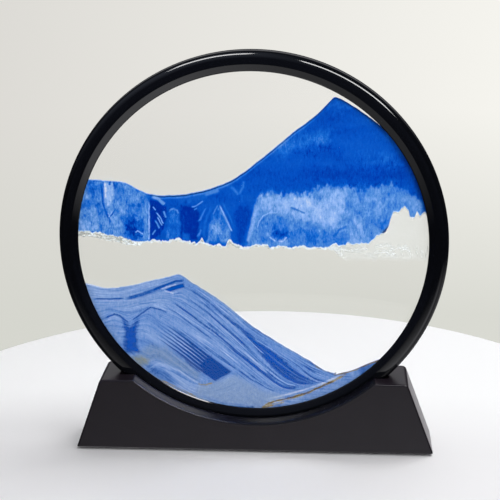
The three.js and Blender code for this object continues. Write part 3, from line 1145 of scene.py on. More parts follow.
@dataclass(frozen=True)
class SandSlab:
    """A fine sheet of sand between two outlines, as thick as the cell."""

    name: str
    slot: str
    nodes: tuple[str, ...]
    left: float
    right: float
    columns: int
    rows: int
    half_depth: float = 1.6
    back_share: float = 0.5
    back_drop: float = 1.1
    back_rise: float = 0.0
    thinnest: float = 0.02
    crease: float = 40.0

    def _sheet(self, name: str, share: float, depth: float, foot: Height, top: Height) -> bpy.types.Object:
        """Lays one face of the slab.

        Args:
            name: Name of the face.
            share: Share of the slab's columns and rows that it has.
            depth: Where it lies along y.
            foot: Height of the lower outline at each x, from the wheel's centre.
            top: Height of the upper outline.

        Returns:
            The open sheet.
        """
        Bench.clear_selection()
        columns, rows = round(share * self.columns), round(share * self.rows)
        bpy.ops.mesh.primitive_grid_add(x_subdivisions=columns, y_subdivisions=rows, size=2.0)
        sheet = Bench.named(name)
        places = np.empty(3 * len(sheet.data.vertices), np.float32)
        sheet.data.vertices.foreach_get("co", places)
        places = places.reshape(-1, 3).astype(float)
        across, up = (places[:, 0] + 1) / 2, (places[:, 1] + 1) / 2
        x = self.left + (self.right - self.left) * across
        low = foot(x)
        z = low + np.maximum(top(x) - low, self.thinnest) * up
        z = PICTURE_SCALE * z + PICTURE_DROP + AXIS_HEIGHT
        shaped = np.column_stack([PICTURE_SCALE * x, np.full_like(x, depth), z]) * MM
        sheet.data.vertices.foreach_set("co", shaped.astype(np.float32).ravel())
        sheet.data.update()
        return sheet

    def build(self, foot: Height, top: Height) -> bpy.types.Object:
        """Builds the slab from a fine face, a coarser back and a wall between them.

        Args:
            foot: Height of the lower outline at each x, from the wheel's centre.
            top: Height of the upper outline.

        Returns:
            The closed slab.
        """

        def lower_top(x: Field) -> Field:
            """Upper outline of the back, out of sight from the front."""
            return top(x) - self.back_drop

        def raised_foot(x: Field) -> Field:
            """Lower outline of the back, out of sight from the front."""
            return foot(x) + self.back_rise

        slab = self._sheet(self.name, 1.0, -self.half_depth, foot, top)
        back = self._sheet(f"{self.name}_back", self.back_share, self.half_depth, raised_foot, lower_top)
        Bench.clear_selection()
        back.select_set(True)
        slab.select_set(True)
        bpy.context.view_layer.objects.active = slab
        bpy.ops.object.join()
        with Bench.editing(slab):
            bpy.ops.mesh.select_mode(type="EDGE")
            bpy.ops.mesh.select_non_manifold(extend=False)
            bpy.ops.mesh.bridge_edge_loops()
            Bench.close_and_face_out(0.0)
        Bench.smooth(slab, self.crease)
        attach(slab, "wheel")
        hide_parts(*self.nodes)
        return slab

    @staticmethod
    def canvas(slab: bpy.types.Object) -> SandCanvas:
        """Lays a bare canvas over a slab.

        Args:
            slab: The slab.

        Returns:
            The canvas, with a point for each of the slab's vertices.
        """
        places = np.empty(3 * len(slab.data.vertices), np.float32)
        slab.data.vertices.foreach_get("co", places)
        places = places.reshape(-1, 3).astype(float) / MM
        z = (places[:, 2] - AXIS_HEIGHT - PICTURE_DROP) / PICTURE_SCALE
        return SandCanvas(places[:, 0] / PICTURE_SCALE, z)

    @staticmethod
    def keep(slab: bpy.types.Object, canvas: SandCanvas) -> None:
        """Stores a canvas on a slab.

        Args:
            slab: The slab.
            canvas: Its painted canvas.
        """
        for share, values in canvas.shares.items():
            layer = slab.data.attributes.new(share.value, "FLOAT", "POINT")
            layer.data.foreach_set("value", values.astype(np.float32))


# Outlines of the sand. A run of points that stands alone is in millimetres.
BANK_TOP: Line = (
    ((-80.0, 32.0),)
    + LEFT_VIEW.line((190, 75))
    + ((-65.4, 31.4), (-57.6, 30.6), (-53.8, 28.6), (-48.4, 26.0))
    + LEFT_VIEW.line((740, 205), (860, 205))
    + ((-27.4, 25.9), (-19.0, 28.0), (-10.7, 31.2), (-5.2, 34.4), (0.0, 38.4), (8.5, 45.2))
    + PHOTO.line((290, 135), (320, 112))
    + ((35.6, 68.2), (37.2, 69.7), (39.0, 69.4), (42.0, 67.9), (46.0, 65.4), (52.0, 61.4), (60.0, 55.0))
)
BANK_FOOT: Line = (
    ((-83.0, 7.8),)
    + LEFT_VIEW.line(
        (130, 500), (200, 510), (300, 540), (400, 550), (480, 570), (560, 590), (640, 585), (760, 575),
        (860, 570), (940, 585), (1020, 590),
    )
    + ((-24.6, 2.8), (-23.2, 4.4))
    + LEFT_VIEW.line((1110, 605), (1200, 620))
    + ((-12.4, 1.2), (-10.6, 4.6), (-8.4, 1.6))
    + LEFT_VIEW.line((1420, 635))
    + RIGHT_VIEW.line(
        (50, 540), (120, 525), (220, 510), (240, 540), (330, 535), (420, 545), (480, 530), (560, 545),
        (640, 530), (700, 540), (760, 520), (860, 515), (960, 515), (1030, 500), (1070, 470), (1170, 420),
        (1200, 370), (1215, 310), (1235, 250), (1290, 250),
    )
    + ((69.1, 20.2), (71.0, 18.3))
    + RIGHT_VIEW.line((1365, 300))
    + ((73.6, 14.6), (74.7, 17.7), (76.1, 15.6), (78.3, 17.8))
    + RIGHT_VIEW.line((1520, 300))
    + ((83.0, 15.0),)
)
DUNE_SLOPE: Line = (
    ((-83.0, -17.5),)
    + PHOTO.line((85, 283), (100, 287), (125, 286), (150, 280), (170, 276))
    + ((-34.5, -13.2), (-29.0, -16.8), (-15.2, -26.0))
    + PHOTO.line((250, 324.5))
    + ((12.7, -47.2), (26.8, -55.8))
)
DUNE_END: Point = (38.6, -62.0)
DUNE_SURFACE: Line = DUNE_SLOPE + (DUNE_END,)
DUNE_TOP: Line = DUNE_SLOPE + PHOTO.line((325, 370.5)) + (DUNE_END, (45.0, -68.0))
DRIFT_TOP: Line = (
    ((0.0, -83.0), (14.0, -76.0), (30.0, -67.5), DUNE_END)
    + PHOTO.line((350, 370), (370, 362), (383, 357))
    + ((66.0, -50.5),)
)
SEAM_TOP: Line = (
    ((-6.0, -84.0), (0.6, -80.4), (11.0, -76.8))
    + PHOTO.line((300, 393))
    + ((30.0, -67.6), (38.6, -62.4), (46.0, -60.2), (55.0, -56.0), (61.0, -53.4), (66.0, -50.6))
)


@dataclass
class SandPicture:
    """The sand and bubbles in the cell, in millimetres from the wheel's centre.

    A Point that isn't on an outline holds where a change starts and where it is full. A Noise holds the size
    of its cells and its seed.
    """

    cell_radius: float = 82.3
    bank_top: Line = BANK_TOP
    bank_foot: Line = BANK_FOOT
    dune_top: Line = DUNE_TOP
    drift_top: Line = DRIFT_TOP
    seam_top: Line = SEAM_TOP
    seam_thickness: float = 1.5
    froth_depth: float = 0.8
    film_foot: float = -5.6

    bank_slab: SandSlab = SandSlab(
        name="upper_sand",
        slot="blue_sand",
        nodes=("upper_sand_bank",),
        left=-81.4,
        right=80.2,
        columns=520,
        rows=140,
        back_rise=0.5,
    )
    cap_slab: SandSlab = SandSlab(
        name="shoulder_cap",
        slot="pale_sand",
        nodes=("pale_sand_cap",),
        left=-79.6,
        right=-20.0,
        columns=240,
        rows=36,
    )
    dune_slab: SandSlab = SandSlab(
        name="dune",
        slot="dune_sand",
        nodes=("lower_sand_dune",),
        left=-78.6,
        right=39.0,
        columns=440,
        rows=168,
        half_depth=1.58,
    )
    seam_slab: SandSlab = SandSlab(
        name="gold_seam",
        slot="gold_sand",
        nodes=("gold_sand_seam",),
        left=1.0,
        right=63.0,
        columns=300,
        rows=8,
    )
    drift_slab: SandSlab = SandSlab(
        name="right_drift",
        slot="pale_sand",
        nodes=("pale_sand_drift",),
        left=4.0,
        right=63.4,
        columns=260,
        rows=40,
        half_depth=1.58,
    )
    froth_slab: SandSlab = SandSlab(
        name="bubble_froth",
        slot="air_bubbles",
        nodes=("bubble_row",),
        left=-81.4,
        right=80.2,
        columns=640,
        rows=40,
        half_depth=1.57,
    )

    bank_blues: tuple[tuple[float, Colour], ...] = (
        (0.0, srgb(0, 46, 161)),
        (0.12, srgb(3, 80, 193)),
        (0.3, srgb(24, 107, 212)),
        (0.5, srgb(84, 143, 220)),
        (0.7, srgb(134, 175, 238)),
        (0.88, srgb(170, 199, 244)),
        (1.0, srgb(216, 224, 240)),
    )
    # Colour of the painted shade line under the bank's top edge.
    bank_shade_colour: Colour = srgb(10, 52, 108)
    dune_blues: tuple[tuple[float, Colour], ...] = (
        (0.0, srgb(4, 80, 184)),
        (0.05, srgb(12, 66, 144)),
        (0.13, srgb(38, 92, 176)),
        (0.35, srgb(88, 133, 204)),
        (0.55, srgb(124, 157, 213)),
        (0.75, srgb(156, 181, 226)),
        (1.0, srgb(206, 213, 230)),
    )
    # Colour of the murky grains, and of the painted shade along the dune's top edge.
    dune_murk_and_shade: Colour = srgb(132, 144, 142)

    foot_rough: float = 0.55
    foot_noise: Noise = (1.9, 11)
    fray: float = 0.25
    more_fray: float = 0.3
    more_fray_from: Point = (-50.0, -46.0)
    more_fray_to: Point = (-26.0, -20.0)
    fray_noise: Noise = (0.7, 17)
    top_rough: float = 0.12
    bank_top_noise: Noise = (2.5, 31)
    settled_top_noise: Noise = (2.2, 41)

    bank_pale: float = 0.12
    bank_cloud: float = 0.035
    bank_cloud_length: float = 3.5
    bank_cloud_noise: Noise = (5.0, 71)
    bank_speckle: float = 0.05
    zone_stray: tuple[float, float, int, float] = (0.75, 1.5, 3, 1.8)
    crumble: float = 1.2
    crumble_height: float = 1.3
    crumble_noise: Noise = (2.6, 73)
    line_stray: tuple[float, float, int] = (0.16, 2.4, 5)
    # Painted shade and painted highlights along the bank's edges.
    bank_slope: Point = (-50.0, -40.0)
    edge_end: Point = (0.25, 0.5)
    shade: float = 0.85
    shade_end: Point = (0.7, 1.1)
    lit: float = 0.9
    lit_tone: float = 0.85
    lit_right_end: Point = (30.0, 36.0)
    lit_foot_end: Point = (0.1, 0.4)
    glint: float = 0.3
    glint_start: Point = (0.9, 1.2)
    glint_end: Point = (1.5, 2.2)
    glint_right_end: Point = (22.0, 34.0)

    lap: float = 0.1
    cap_cover: float = 0.3
    seam_cover: Point = (0.02, 0.05)
    seam_start: float = -6.0
    bed_turn: Point = (-46.0, -32.0)
    bed_edge: Point = (-0.25, 0.25)
    thinnest_bed: float = 0.3
    bed_line: float = 0.4
    strata: float = 0.7
    dune_speckle: float = 0.1
    dune_zone_stray: tuple[float, float, int] = (0.35, 2.0, 7)
    dune_line_stray: tuple[float, float, int] = (0.12, 3.0, 9)
    stripes: int = 6
    stripe_width: float = 0.95
    drift_edge: Point = (0.0, 1.0)
    drift_pale: float = 0.5
    drift_fall: float = 0.08
    drift_fall_range: Point = (30.0, 60.0)
    drift_cloud: float = 0.06
    drift_noise: Noise = (4.0, 23)
    gold_cloud: float = 0.5
    gold_noise: Noise = (2.5, 29)
    # Painted highlight and painted shade along the dune's top edge.
    dune_edge_end: Point = (0.12, 0.5)
    dune_slope: Point = (-36.0, -28.0)
    dune_shade: float = 0.55
    gilded: float = 0.75
    gilded_from: Point = (36.0, 40.0)
    gilded_depth: Point = (0.5, 1.2)

    lobe_noise: Noise = (2.4, 61)
    small_lobe: float = 0.5
    small_lobe_noise: Noise = (0.9, 67)
    froth_spread: float = 1.1
    froth_looks: int = 7
    froth_gap: float = 0.25
    froth_lap: float = 0.05
    left_sag: float = 1.8
    left_sag_end: Point = (-60.0, -48.0)
    film_start: Point = (34.0, 44.0)
    grey_end: Point = (-62.0, -46.0)
    packed: float = 0.95
    loose: float = 0.35
    loose_depth: Point = (0.3, 1.2)
    looser: float = 0.25
    looser_depth: Point = (2.0, 6.0)
    left_loose: float = 0.12
    grey: Point = (0.2, 0.8)
    film_clear: float = 0.91
    film_depth: Point = (0.2, 0.7)
    film_edge: Point = (0.0, 1.2)
    film_stray: tuple[float, float, int] = (0.4, 2.5, 13)

    def floor_at(self, x: Field) -> Field:
        """Bottom of the cell."""
        return (-self._half_height(x) - PICTURE_DROP) / PICTURE_SCALE

    def roof_at(self, x: Field) -> Field:
        """Top of the cell."""
        return (self._half_height(x) - PICTURE_DROP) / PICTURE_SCALE

    def _half_height(self, x: Field) -> Field:
        """Half height of the cell at each x."""
        return np.sqrt(np.maximum(self.cell_radius**2 - (PICTURE_SCALE * x) ** 2, 0.0))

    def bank_foot_at(self, x: Field) -> Field:
        """Ragged foot of the upper bank.

        Args:
            x: Where the height is wanted.

        Returns:
            The height at each x.
        """
        level = np.zeros_like(x)
        more = self.more_fray * soft_step(*self.more_fray_from, x) * (1 - soft_step(*self.more_fray_to, x))
        frayed = (self.fray + more) * value_noise(x, level, *self.fray_noise)
        ragged = self.foot_rough * rough_noise(x, level, *self.foot_noise) + frayed
        line = np.interp(x, *zip(*self.bank_foot))
        return np.maximum(line + ragged, self.floor_at(x))

    def bank_top_at(self, x: Field) -> Field:
        """Top of the upper bank, under the rim at its right."""
        ragged = self.top_rough * rough_noise(x, np.zeros_like(x), *self.bank_top_noise)
        return np.minimum(smooth_line(self.bank_top, x) + ragged, self.roof_at(x))

    def settled_top_at(self, x: Field) -> Field:
        """Surface of the settled sand: the dune, then the drift that leans on it.

        Args:
            x: Where the height is wanted.

        Returns:
            The height at each x.
        """
        ragged = self.top_rough * rough_noise(x, np.zeros_like(x), *self.settled_top_noise)
        surface = np.maximum(smooth_line(self.dune_top, x), smooth_line(self.drift_top, x))
        return np.minimum(surface + ragged, self.roof_at(x))

    def build(self, effects: Effects) -> None:
        """Builds, paints and dresses every filling of the cell.

        Args:
            effects: Shared effects of the finishes.
        """
        self._upper_bank(effects)
        self._settled_sand(effects)
        self._froth()

    def _upper_bank(self, effects: Effects) -> None:
        """Builds the blue bank that hangs over the bubbles.

        Args:
            effects: Shared effects of the finish.
        """
        slab = self.bank_slab.build(self.bank_foot_at, self.bank_top_at)
        canvas = SandSlab.canvas(slab)
        x, z = canvas.x, canvas.z
        pale, speckle = canvas.shares[Share.PALE], canvas.shares[Share.SPECKLE]
        cloud = rough_noise(x / self.bank_cloud_length, z, *self.bank_cloud_noise)
        pale += self.bank_pale + self.bank_cloud * cloud
        speckle += self.bank_speckle
        with canvas.strayed(*self.zone_stray):
            canvas.paint(BANK_ZONES)
        loose = self.crumble * (speckle - self.bank_speckle)
        pale += loose * rough_noise(x, z / self.crumble_height, *self.crumble_noise)
        with canvas.strayed(*self.line_stray):
            canvas.paint(BANK_LINES)
        # Painted shade: a dark line 0.25 to 1.1 mm under the bank's top edge, from about x = -45 rightwards.
        # Painted highlights: a pale line along the top edge up to about x = 33 and along the foot, and a
        # fainter glint 1 to 2 mm under the top edge between about x = -45 and x = 28.
        depth = self.bank_top_at(x) - z
        slope = soft_step(*self.bank_slope, x)
        under = soft_step(*self.edge_end, depth)
        canvas.shares[Share.MURK_AND_SHADE] += self.shade * slope * under * (1 - soft_step(*self.shade_end, depth))
        lit = self.lit * (1 - under) * (1 - soft_step(*self.lit_right_end, x))
        lit += self.lit * (1 - soft_step(*self.lit_foot_end, z - self.bank_foot_at(x)))
        glint = self.glint * (slope * (1 - soft_step(*self.glint_right_end, x)))
        lit += glint * soft_step(*self.glint_start, depth) * (1 - soft_step(*self.glint_end, depth))
        pale += lit * (self.lit_tone - pale)
        SandSlab.keep(slab, canvas)
        finish = SandFinish(effects, "blue_bank_sand", self.bank_blues, self.bank_shade_colour)
        Bench.dress(slab, finish.material())
        LOG.info("built %s", slab.name)

    def _settled_sand(self, effects: Effects) -> None:
        """Builds the dune, its pale cap, the gold seam and the drift.

        Args:
            effects: Shared effects of the finish.
        """
        top, floor = self.settled_top_at, self.floor_at
        over_cover, under_cover = self.seam_cover

        def cap_foot(x: Field) -> Field:
            """Foot of the pale cap on the dune's shoulder."""
            return np.minimum(smooth_line(DUNE_LINES[1], x), top(x) - self.cap_cover)

        def seam_top(x: Field) -> Field:
            """Upper side of the gold seam."""
            return np.clip(smooth_line(self.seam_top, x), floor(x), top(x) - over_cover)

        def seam_foot(x: Field) -> Field:
            """Lower side of the gold seam."""
            line = smooth_line(self.seam_top, x) - self.seam_thickness
            return np.clip(line, floor(x), top(x) - under_cover)

        def drift_top(x: Field) -> Field:
            """Upper side of the drift, under the gold seam."""
            return seam_foot(x) + self.lap

        def dune_foot(x: Field) -> Field:
            """Lower side of the dune, on the seam and the cell."""
            return np.maximum(floor(x), np.where(x > self.seam_start, seam_top(x) - self.lap, floor(x)))

        def dune_top(x: Field) -> Field:
            """Upper side of the dune, under the cap at its left."""
            return np.where(x < self.cap_slab.right, cap_foot(x) + self.lap, top(x))

        layers = (
            (self.cap_slab, cap_foot, top),
            (self.dune_slab, dune_foot, dune_top),
            (self.seam_slab, seam_foot, seam_top),
            (self.drift_slab, floor, drift_top),
        )
        finish = SandFinish(effects, "settled_dune_sand", self.dune_blues, self.dune_murk_and_shade).material()
        for layer, foot, upper in layers:
            slab = layer.build(foot, upper)
            SandSlab.keep(slab, self._paint_settled(SandSlab.canvas(slab)))
            Bench.dress(slab, finish)
            LOG.info("built %s", slab.name)

    def _paint_settled(self, canvas: SandCanvas) -> SandCanvas:
        """Paints the layers of the dune and the drift.

        Args:
            canvas: Canvas without marks.

        Returns:
            The painted canvas.
        """
        x, z = canvas.x, canvas.z
        pale, layer = canvas.shares[Share.PALE], canvas.shares[Share.LAYER]
        murk, gold = canvas.shares[Share.MURK_AND_SHADE], canvas.shares[Share.GOLD]
        lines = [smooth_line(line, x) for line in DUNE_LINES]
        rightwards = soft_step(*self.bed_turn, x)
        tones = [left * (1 - rightwards) + right * rightwards for left, right in DUNE_TONES]
        pale += tones[0]
        for index, line in enumerate(lines[1:], 1):
            pale += soft_step(*self.bed_edge, line - z) * (tones[index] - pale)
            thickness = np.maximum(lines[index - 1] - line, self.thinnest_bed)
            layer += DUNE_BED_THICKNESS * np.clip((lines[index - 1] - z) / thickness, 0.0, 1.0)
            pale -= DUNE_LINE_DEPTH[index] * np.exp(-(((z - line) / self.bed_line) ** 2))
        layer += np.maximum(lines[-1] - z, 0.0)
        canvas.shares[Share.STRATA] += self.strata + self.strata * rightwards
        canvas.shares[Share.SPECKLE] += self.dune_speckle
        with canvas.strayed(*self.dune_zone_stray):
            canvas.paint(DUNE_ZONES)
        with canvas.strayed(*self.dune_line_stray):
            canvas.comb(STRIPE_TOP, STRIPE_FOOT, self.stripes, self.stripe_width)
            canvas.paint(DUNE_LINE_MARKS)
        below = soft_step(*self.drift_edge, smooth_line(self.seam_top, x) - z) * (x > 0.0)
        drift = self.drift_pale - self.drift_fall * soft_step(*self.drift_fall_range, x)
        drift += self.drift_cloud * rough_noise(x, z, *self.drift_noise)
        pale += below * (drift - pale)
        canvas.paint(GOLD_MARKS)
        gold *= 1 + self.gold_cloud * rough_noise(x, z, *self.gold_noise)
        # Painted highlight along the dune's top edge at its left, and painted shade along it further right,
        # short of the gold at its right end.
        depth = self.settled_top_at(x) - z
        edge = 1 - soft_step(*self.dune_edge_end, depth)
        slope = soft_step(*self.dune_slope, x)
        pale += edge * (1 - slope) * (self.lit_tone - pale)
        gilded = soft_step(*self.gilded_from, x)
        murk += self.dune_shade * edge * slope * (1 - gilded)
        gold += self.gilded * (1 - soft_step(*self.gilded_depth, depth)) * gilded
        return canvas

    def _froth(self) -> None:
        """Builds the row of small air bubbles under the bank, and the film it leaves at the right."""
        looks = np.linspace(-self.froth_spread, self.froth_spread, self.froth_looks)

        def foot(x: Field) -> Field:
            """Lobed lower side of the bubbles.

            Args:
                x: Where the height is wanted.

            Returns:
                The height at each x.
            """
            level = np.ones_like(x)
            lobes = np.abs(rough_noise(x, level, *self.lobe_noise))
            lobes += self.small_lobe * np.abs(value_noise(x, level, *self.small_lobe_noise))
            lowest = np.min([self.bank_foot_at(x + look) for look in looks], axis=0)
            sag = self.left_sag * (1 - soft_step(*self.left_sag_end, x))
            row = lowest - self.froth_gap - self.froth_depth * lobes - sag
            film = np.minimum(self.film_foot - lobes, row)
            return np.maximum(row + soft_step(*self.film_start, x) * (film - row), self.floor_at(x))

        def top(x: Field) -> Field:
            """Upper side of the bubbles, against the bank."""
            return self.bank_foot_at(x) + self.froth_lap

        slab = self.froth_slab.build(foot, top)
        canvas = SandSlab.canvas(slab)
        x, z = canvas.x, canvas.z
        dense = canvas.shares[Share.LAYER]
        below = self.bank_foot_at(x) - z
        left = 1 - soft_step(*self.grey_end, x)
        right = soft_step(*self.film_start, x)
        loose = self.loose * soft_step(*self.loose_depth, below)
        loose += self.looser * soft_step(*self.looser_depth, below)
        canvas.shares[Share.PALE] += self.packed - loose * (1 - right) - self.left_loose * left
        canvas.shares[Share.MURK_AND_SHADE] += self.grey[0] + self.grey[1] * left
        dense += 1 - self.film_clear * right * soft_step(*self.film_depth, below)
        dense *= 1 - right * (1 - soft_step(*self.film_edge, z - foot(x)))
        with canvas.strayed(*self.film_stray):
            canvas.paint(FILM_LINES)
        SandSlab.keep(slab, canvas)
        Bench.dress(slab, Froth().material())
        LOG.info("built %s", slab.name)


FILM_BRIGHT: tuple[Line, ...] = (
    ((331, 250), (343, 249.5), (352, 251), (362, 249), (370, 248.5)),
    ((372, 248.5), (384, 246), (393, 246.5)),
    ((388, 250.5), (400, 248.5), (408, 247.5)),
    ((372, 253.5), (384, 252.5), (396, 254)),
    ((398, 246), (404, 249.5), (411, 250)),
)
# The first three lines are painted shadows under the pale lines; the upright strokes after them are grey in
# themselves.
FILM_SHADE_AND_GREY: tuple[Line, ...] = (
    ((331, 252.4), (345, 251.6), (356, 253), (366, 251.4)),
    ((362, 257), (370, 256), (378, 258)),
    ((380, 255.4), (392, 256.6), (400, 256)),
    ((402, 251), (403, 257)),
    ((410, 251), (411, 258)),
    ((415, 247), (417, 256)),
    ((421, 250), (423, 258)),
    ((424, 259), (428, 252), (429, 246)),
)


def film_marks(lines: Sequence[Line], width: float, dense: float, grey: float) -> tuple[Mark, ...]:
    """Faint lines in the film of bubbles.

    Args:
        lines: Points of each line, as read in the photograph.
        width: Width of each line.
        dense: How densely its bubbles lie.
        grey: How grey they are; lines of painted shadow are greyed with it.

    Returns:
        Two marks for each line.
    """
    shares = ((Share.LAYER, dense), (Share.MURK_AND_SHADE, grey))
    return tuple(streak(line, width, value, share=share) for line in lines for share, value in shares)


FILM_LINES = film_marks(FILM_BRIGHT, 0.8, 0.36, -0.4) + film_marks(FILM_SHADE_AND_GREY, 0.7, 0.28, 1.0)

BANK_ZONES: tuple[Mark, ...] = (
    # Speckle.
    patch(((70, 170), (120, 176), (147, 192), (148, 245), (60, 245)), 0.17, 2, share=Share.SPECKLE),
    patch(((168, 212), (173, 206), (179, 212), (181, 243), (164, 243)), 0.11, 1.5, share=Share.SPECKLE),
    patch(((218, 206), (206, 243), (233, 243)), 0.18, 1.5, share=Share.SPECKLE),
    patch(
        ((246, 248), (256, 198), (262, 193), (310, 190), (320, 184), (400, 184), (424, 208), (440, 250)),
        0.135, 1.5, share=Share.SPECKLE,
    ),
    streak(((268, 154), (284, 146), (310, 140), (336, 142)), 8, 0.13, soft=1, share=Share.SPECKLE),
    streak(((350, 160), (400, 163)), 6, 0.1, soft=1, share=Share.SPECKLE),
    # Tone of the deep sand.
    streak(((270, 154), (290, 144), (310, 139), (332, 141)), 6, 0.33, 0.8, 0.95),
    streak(((328, 141), (348, 144), (378, 147)), 5, 0.17, 0.7, 0.95),
    streak(((300, 152), (345, 155)), 5, 0.07, 0.8, 0.9),
    streak(((355, 154), (405, 157)), 4, 0.18, 0.8, 0.9),
    streak(((304, 167), (311, 170), (320, 174)), 1.4, 0.32, 0.6, 0.9),
    streak(((318, 163), (334, 165)), 1.2, 0.24, 0.5, 0.9),
    streak(((384, 158), (398, 163), (406, 170)), 1.6, 0.26, 0.5, 0.9),
    streak(((290, 172), (330, 173), (415, 176)), 6, 0.05, 0.9, 0.9),
    streak(((325, 106), (338, 105), (354, 107.5)), 1.5, 0.26, 0.7, 0.9),
    streak(((330, 112), (345, 113)), 1, 0.2, 0.6, 0.9),
    patch(((395, 150), (412, 165), (424, 195), (426, 210), (418, 190), (405, 172)), 0.06, 2.5),
    streak(((171, 199), (185, 199), (201, 196), (215, 190), (232, 181)), 3.2, 0.2),
    # Left zone.
    patch(((70, 170), (110, 174), (147, 192), (147, 245), (60, 245)), 0.41, 1.2),
    patch(((78, 214), (92, 212), (100, 222), (96, 232), (76, 234)), 0.54, 3),
    patch(((87, 186), (96, 184), (98, 194), (90, 197)), 0.28, 3),
    patch(((92, 225), (96, 223), (98, 229), (91, 230)), 0.75, 1.2),
    patch(((120, 233), (126, 222), (132, 216), (142, 220), (143.5, 233), (135, 236)), 0.1, 1.6),
    patch(((129, 208), (140, 206), (142, 214), (132, 216)), 0.32, 2),
    # Dome, triangle.
    patch(((166, 240), (167, 222), (169, 213), (173, 209), (178, 213), (180, 225), (180, 240)), 0.25, 1),
    patch(
        (
            (218.3, 205), (212.4, 216.5), (208.2, 227.7), (206, 243), (233, 243), (229.2, 226.3),
            (224.3, 216.5),
        ),
        0.38, 0.9,
    ),
    patch(((216, 224), (223, 224), (228, 240), (210, 240)), 0.46, 2.5),
    # Cloud.
    patch(
        (
            (246, 248), (250.5, 227), (255, 209), (257.4, 199.4), (260, 195.4), (268, 192.7),
            (271.5, 189), (273.5, 194), (284, 194.7), (297, 193.4), (310, 194), (314, 188),
            (327, 185.4), (339, 184), (347.5, 188), (359.5, 190), (369, 187.7), (379, 187.7),
            (390, 184.5), (400, 186.3), (411, 193.3), (421, 200.4), (425, 211), (440, 225), (440, 250),
        ),
        0.47, 1.2,
    ),
    patch(
        (
            (258, 200), (270, 195), (285, 196), (310, 195), (325, 190), (345, 190), (346, 210),
            (335, 226), (315, 222), (300, 224), (292, 212), (280, 209), (262, 208),
        ),
        0.71, 2,
    ),
    patch(((291, 200), (305, 197), (312, 205), (305, 212), (292, 208)), 0.78, 2),
    patch(((312, 192), (325, 188), (330, 196), (320, 204)), 0.52, 2),
    patch(((345, 193), (360, 192), (364, 200), (360, 210), (348, 208)), 0.44, 2),
    patch(
        ((366, 192), (400, 188), (420, 203), (424, 214), (395, 212), (390, 226), (374, 232), (364, 222)),
        0.46, 2.5,
    ),
    patch(((374, 222), (390, 214), (391, 226), (380, 231)), 0.3, 2),
    patch(((290, 247), (289, 230), (300, 224), (325, 231), (347, 233), (350, 247)), 0.34, 2.5),
    patch(((350, 246), (352, 226), (362, 222), (366, 234), (362, 244)), 0.55, 2.5),
    patch(
        ((256, 240), (257, 226), (262, 217), (270, 213), (280, 213.5), (287, 218), (289, 230), (289, 240)),
        0.33, 1,
    ),
    patch(((258, 238), (260, 228), (268, 228), (271, 236)), 0.5, 2),
    patch(((272.8, 231.5), (280, 230), (288, 231.5), (288, 238), (280, 240), (274, 238)), 0.08, 0.9),
)

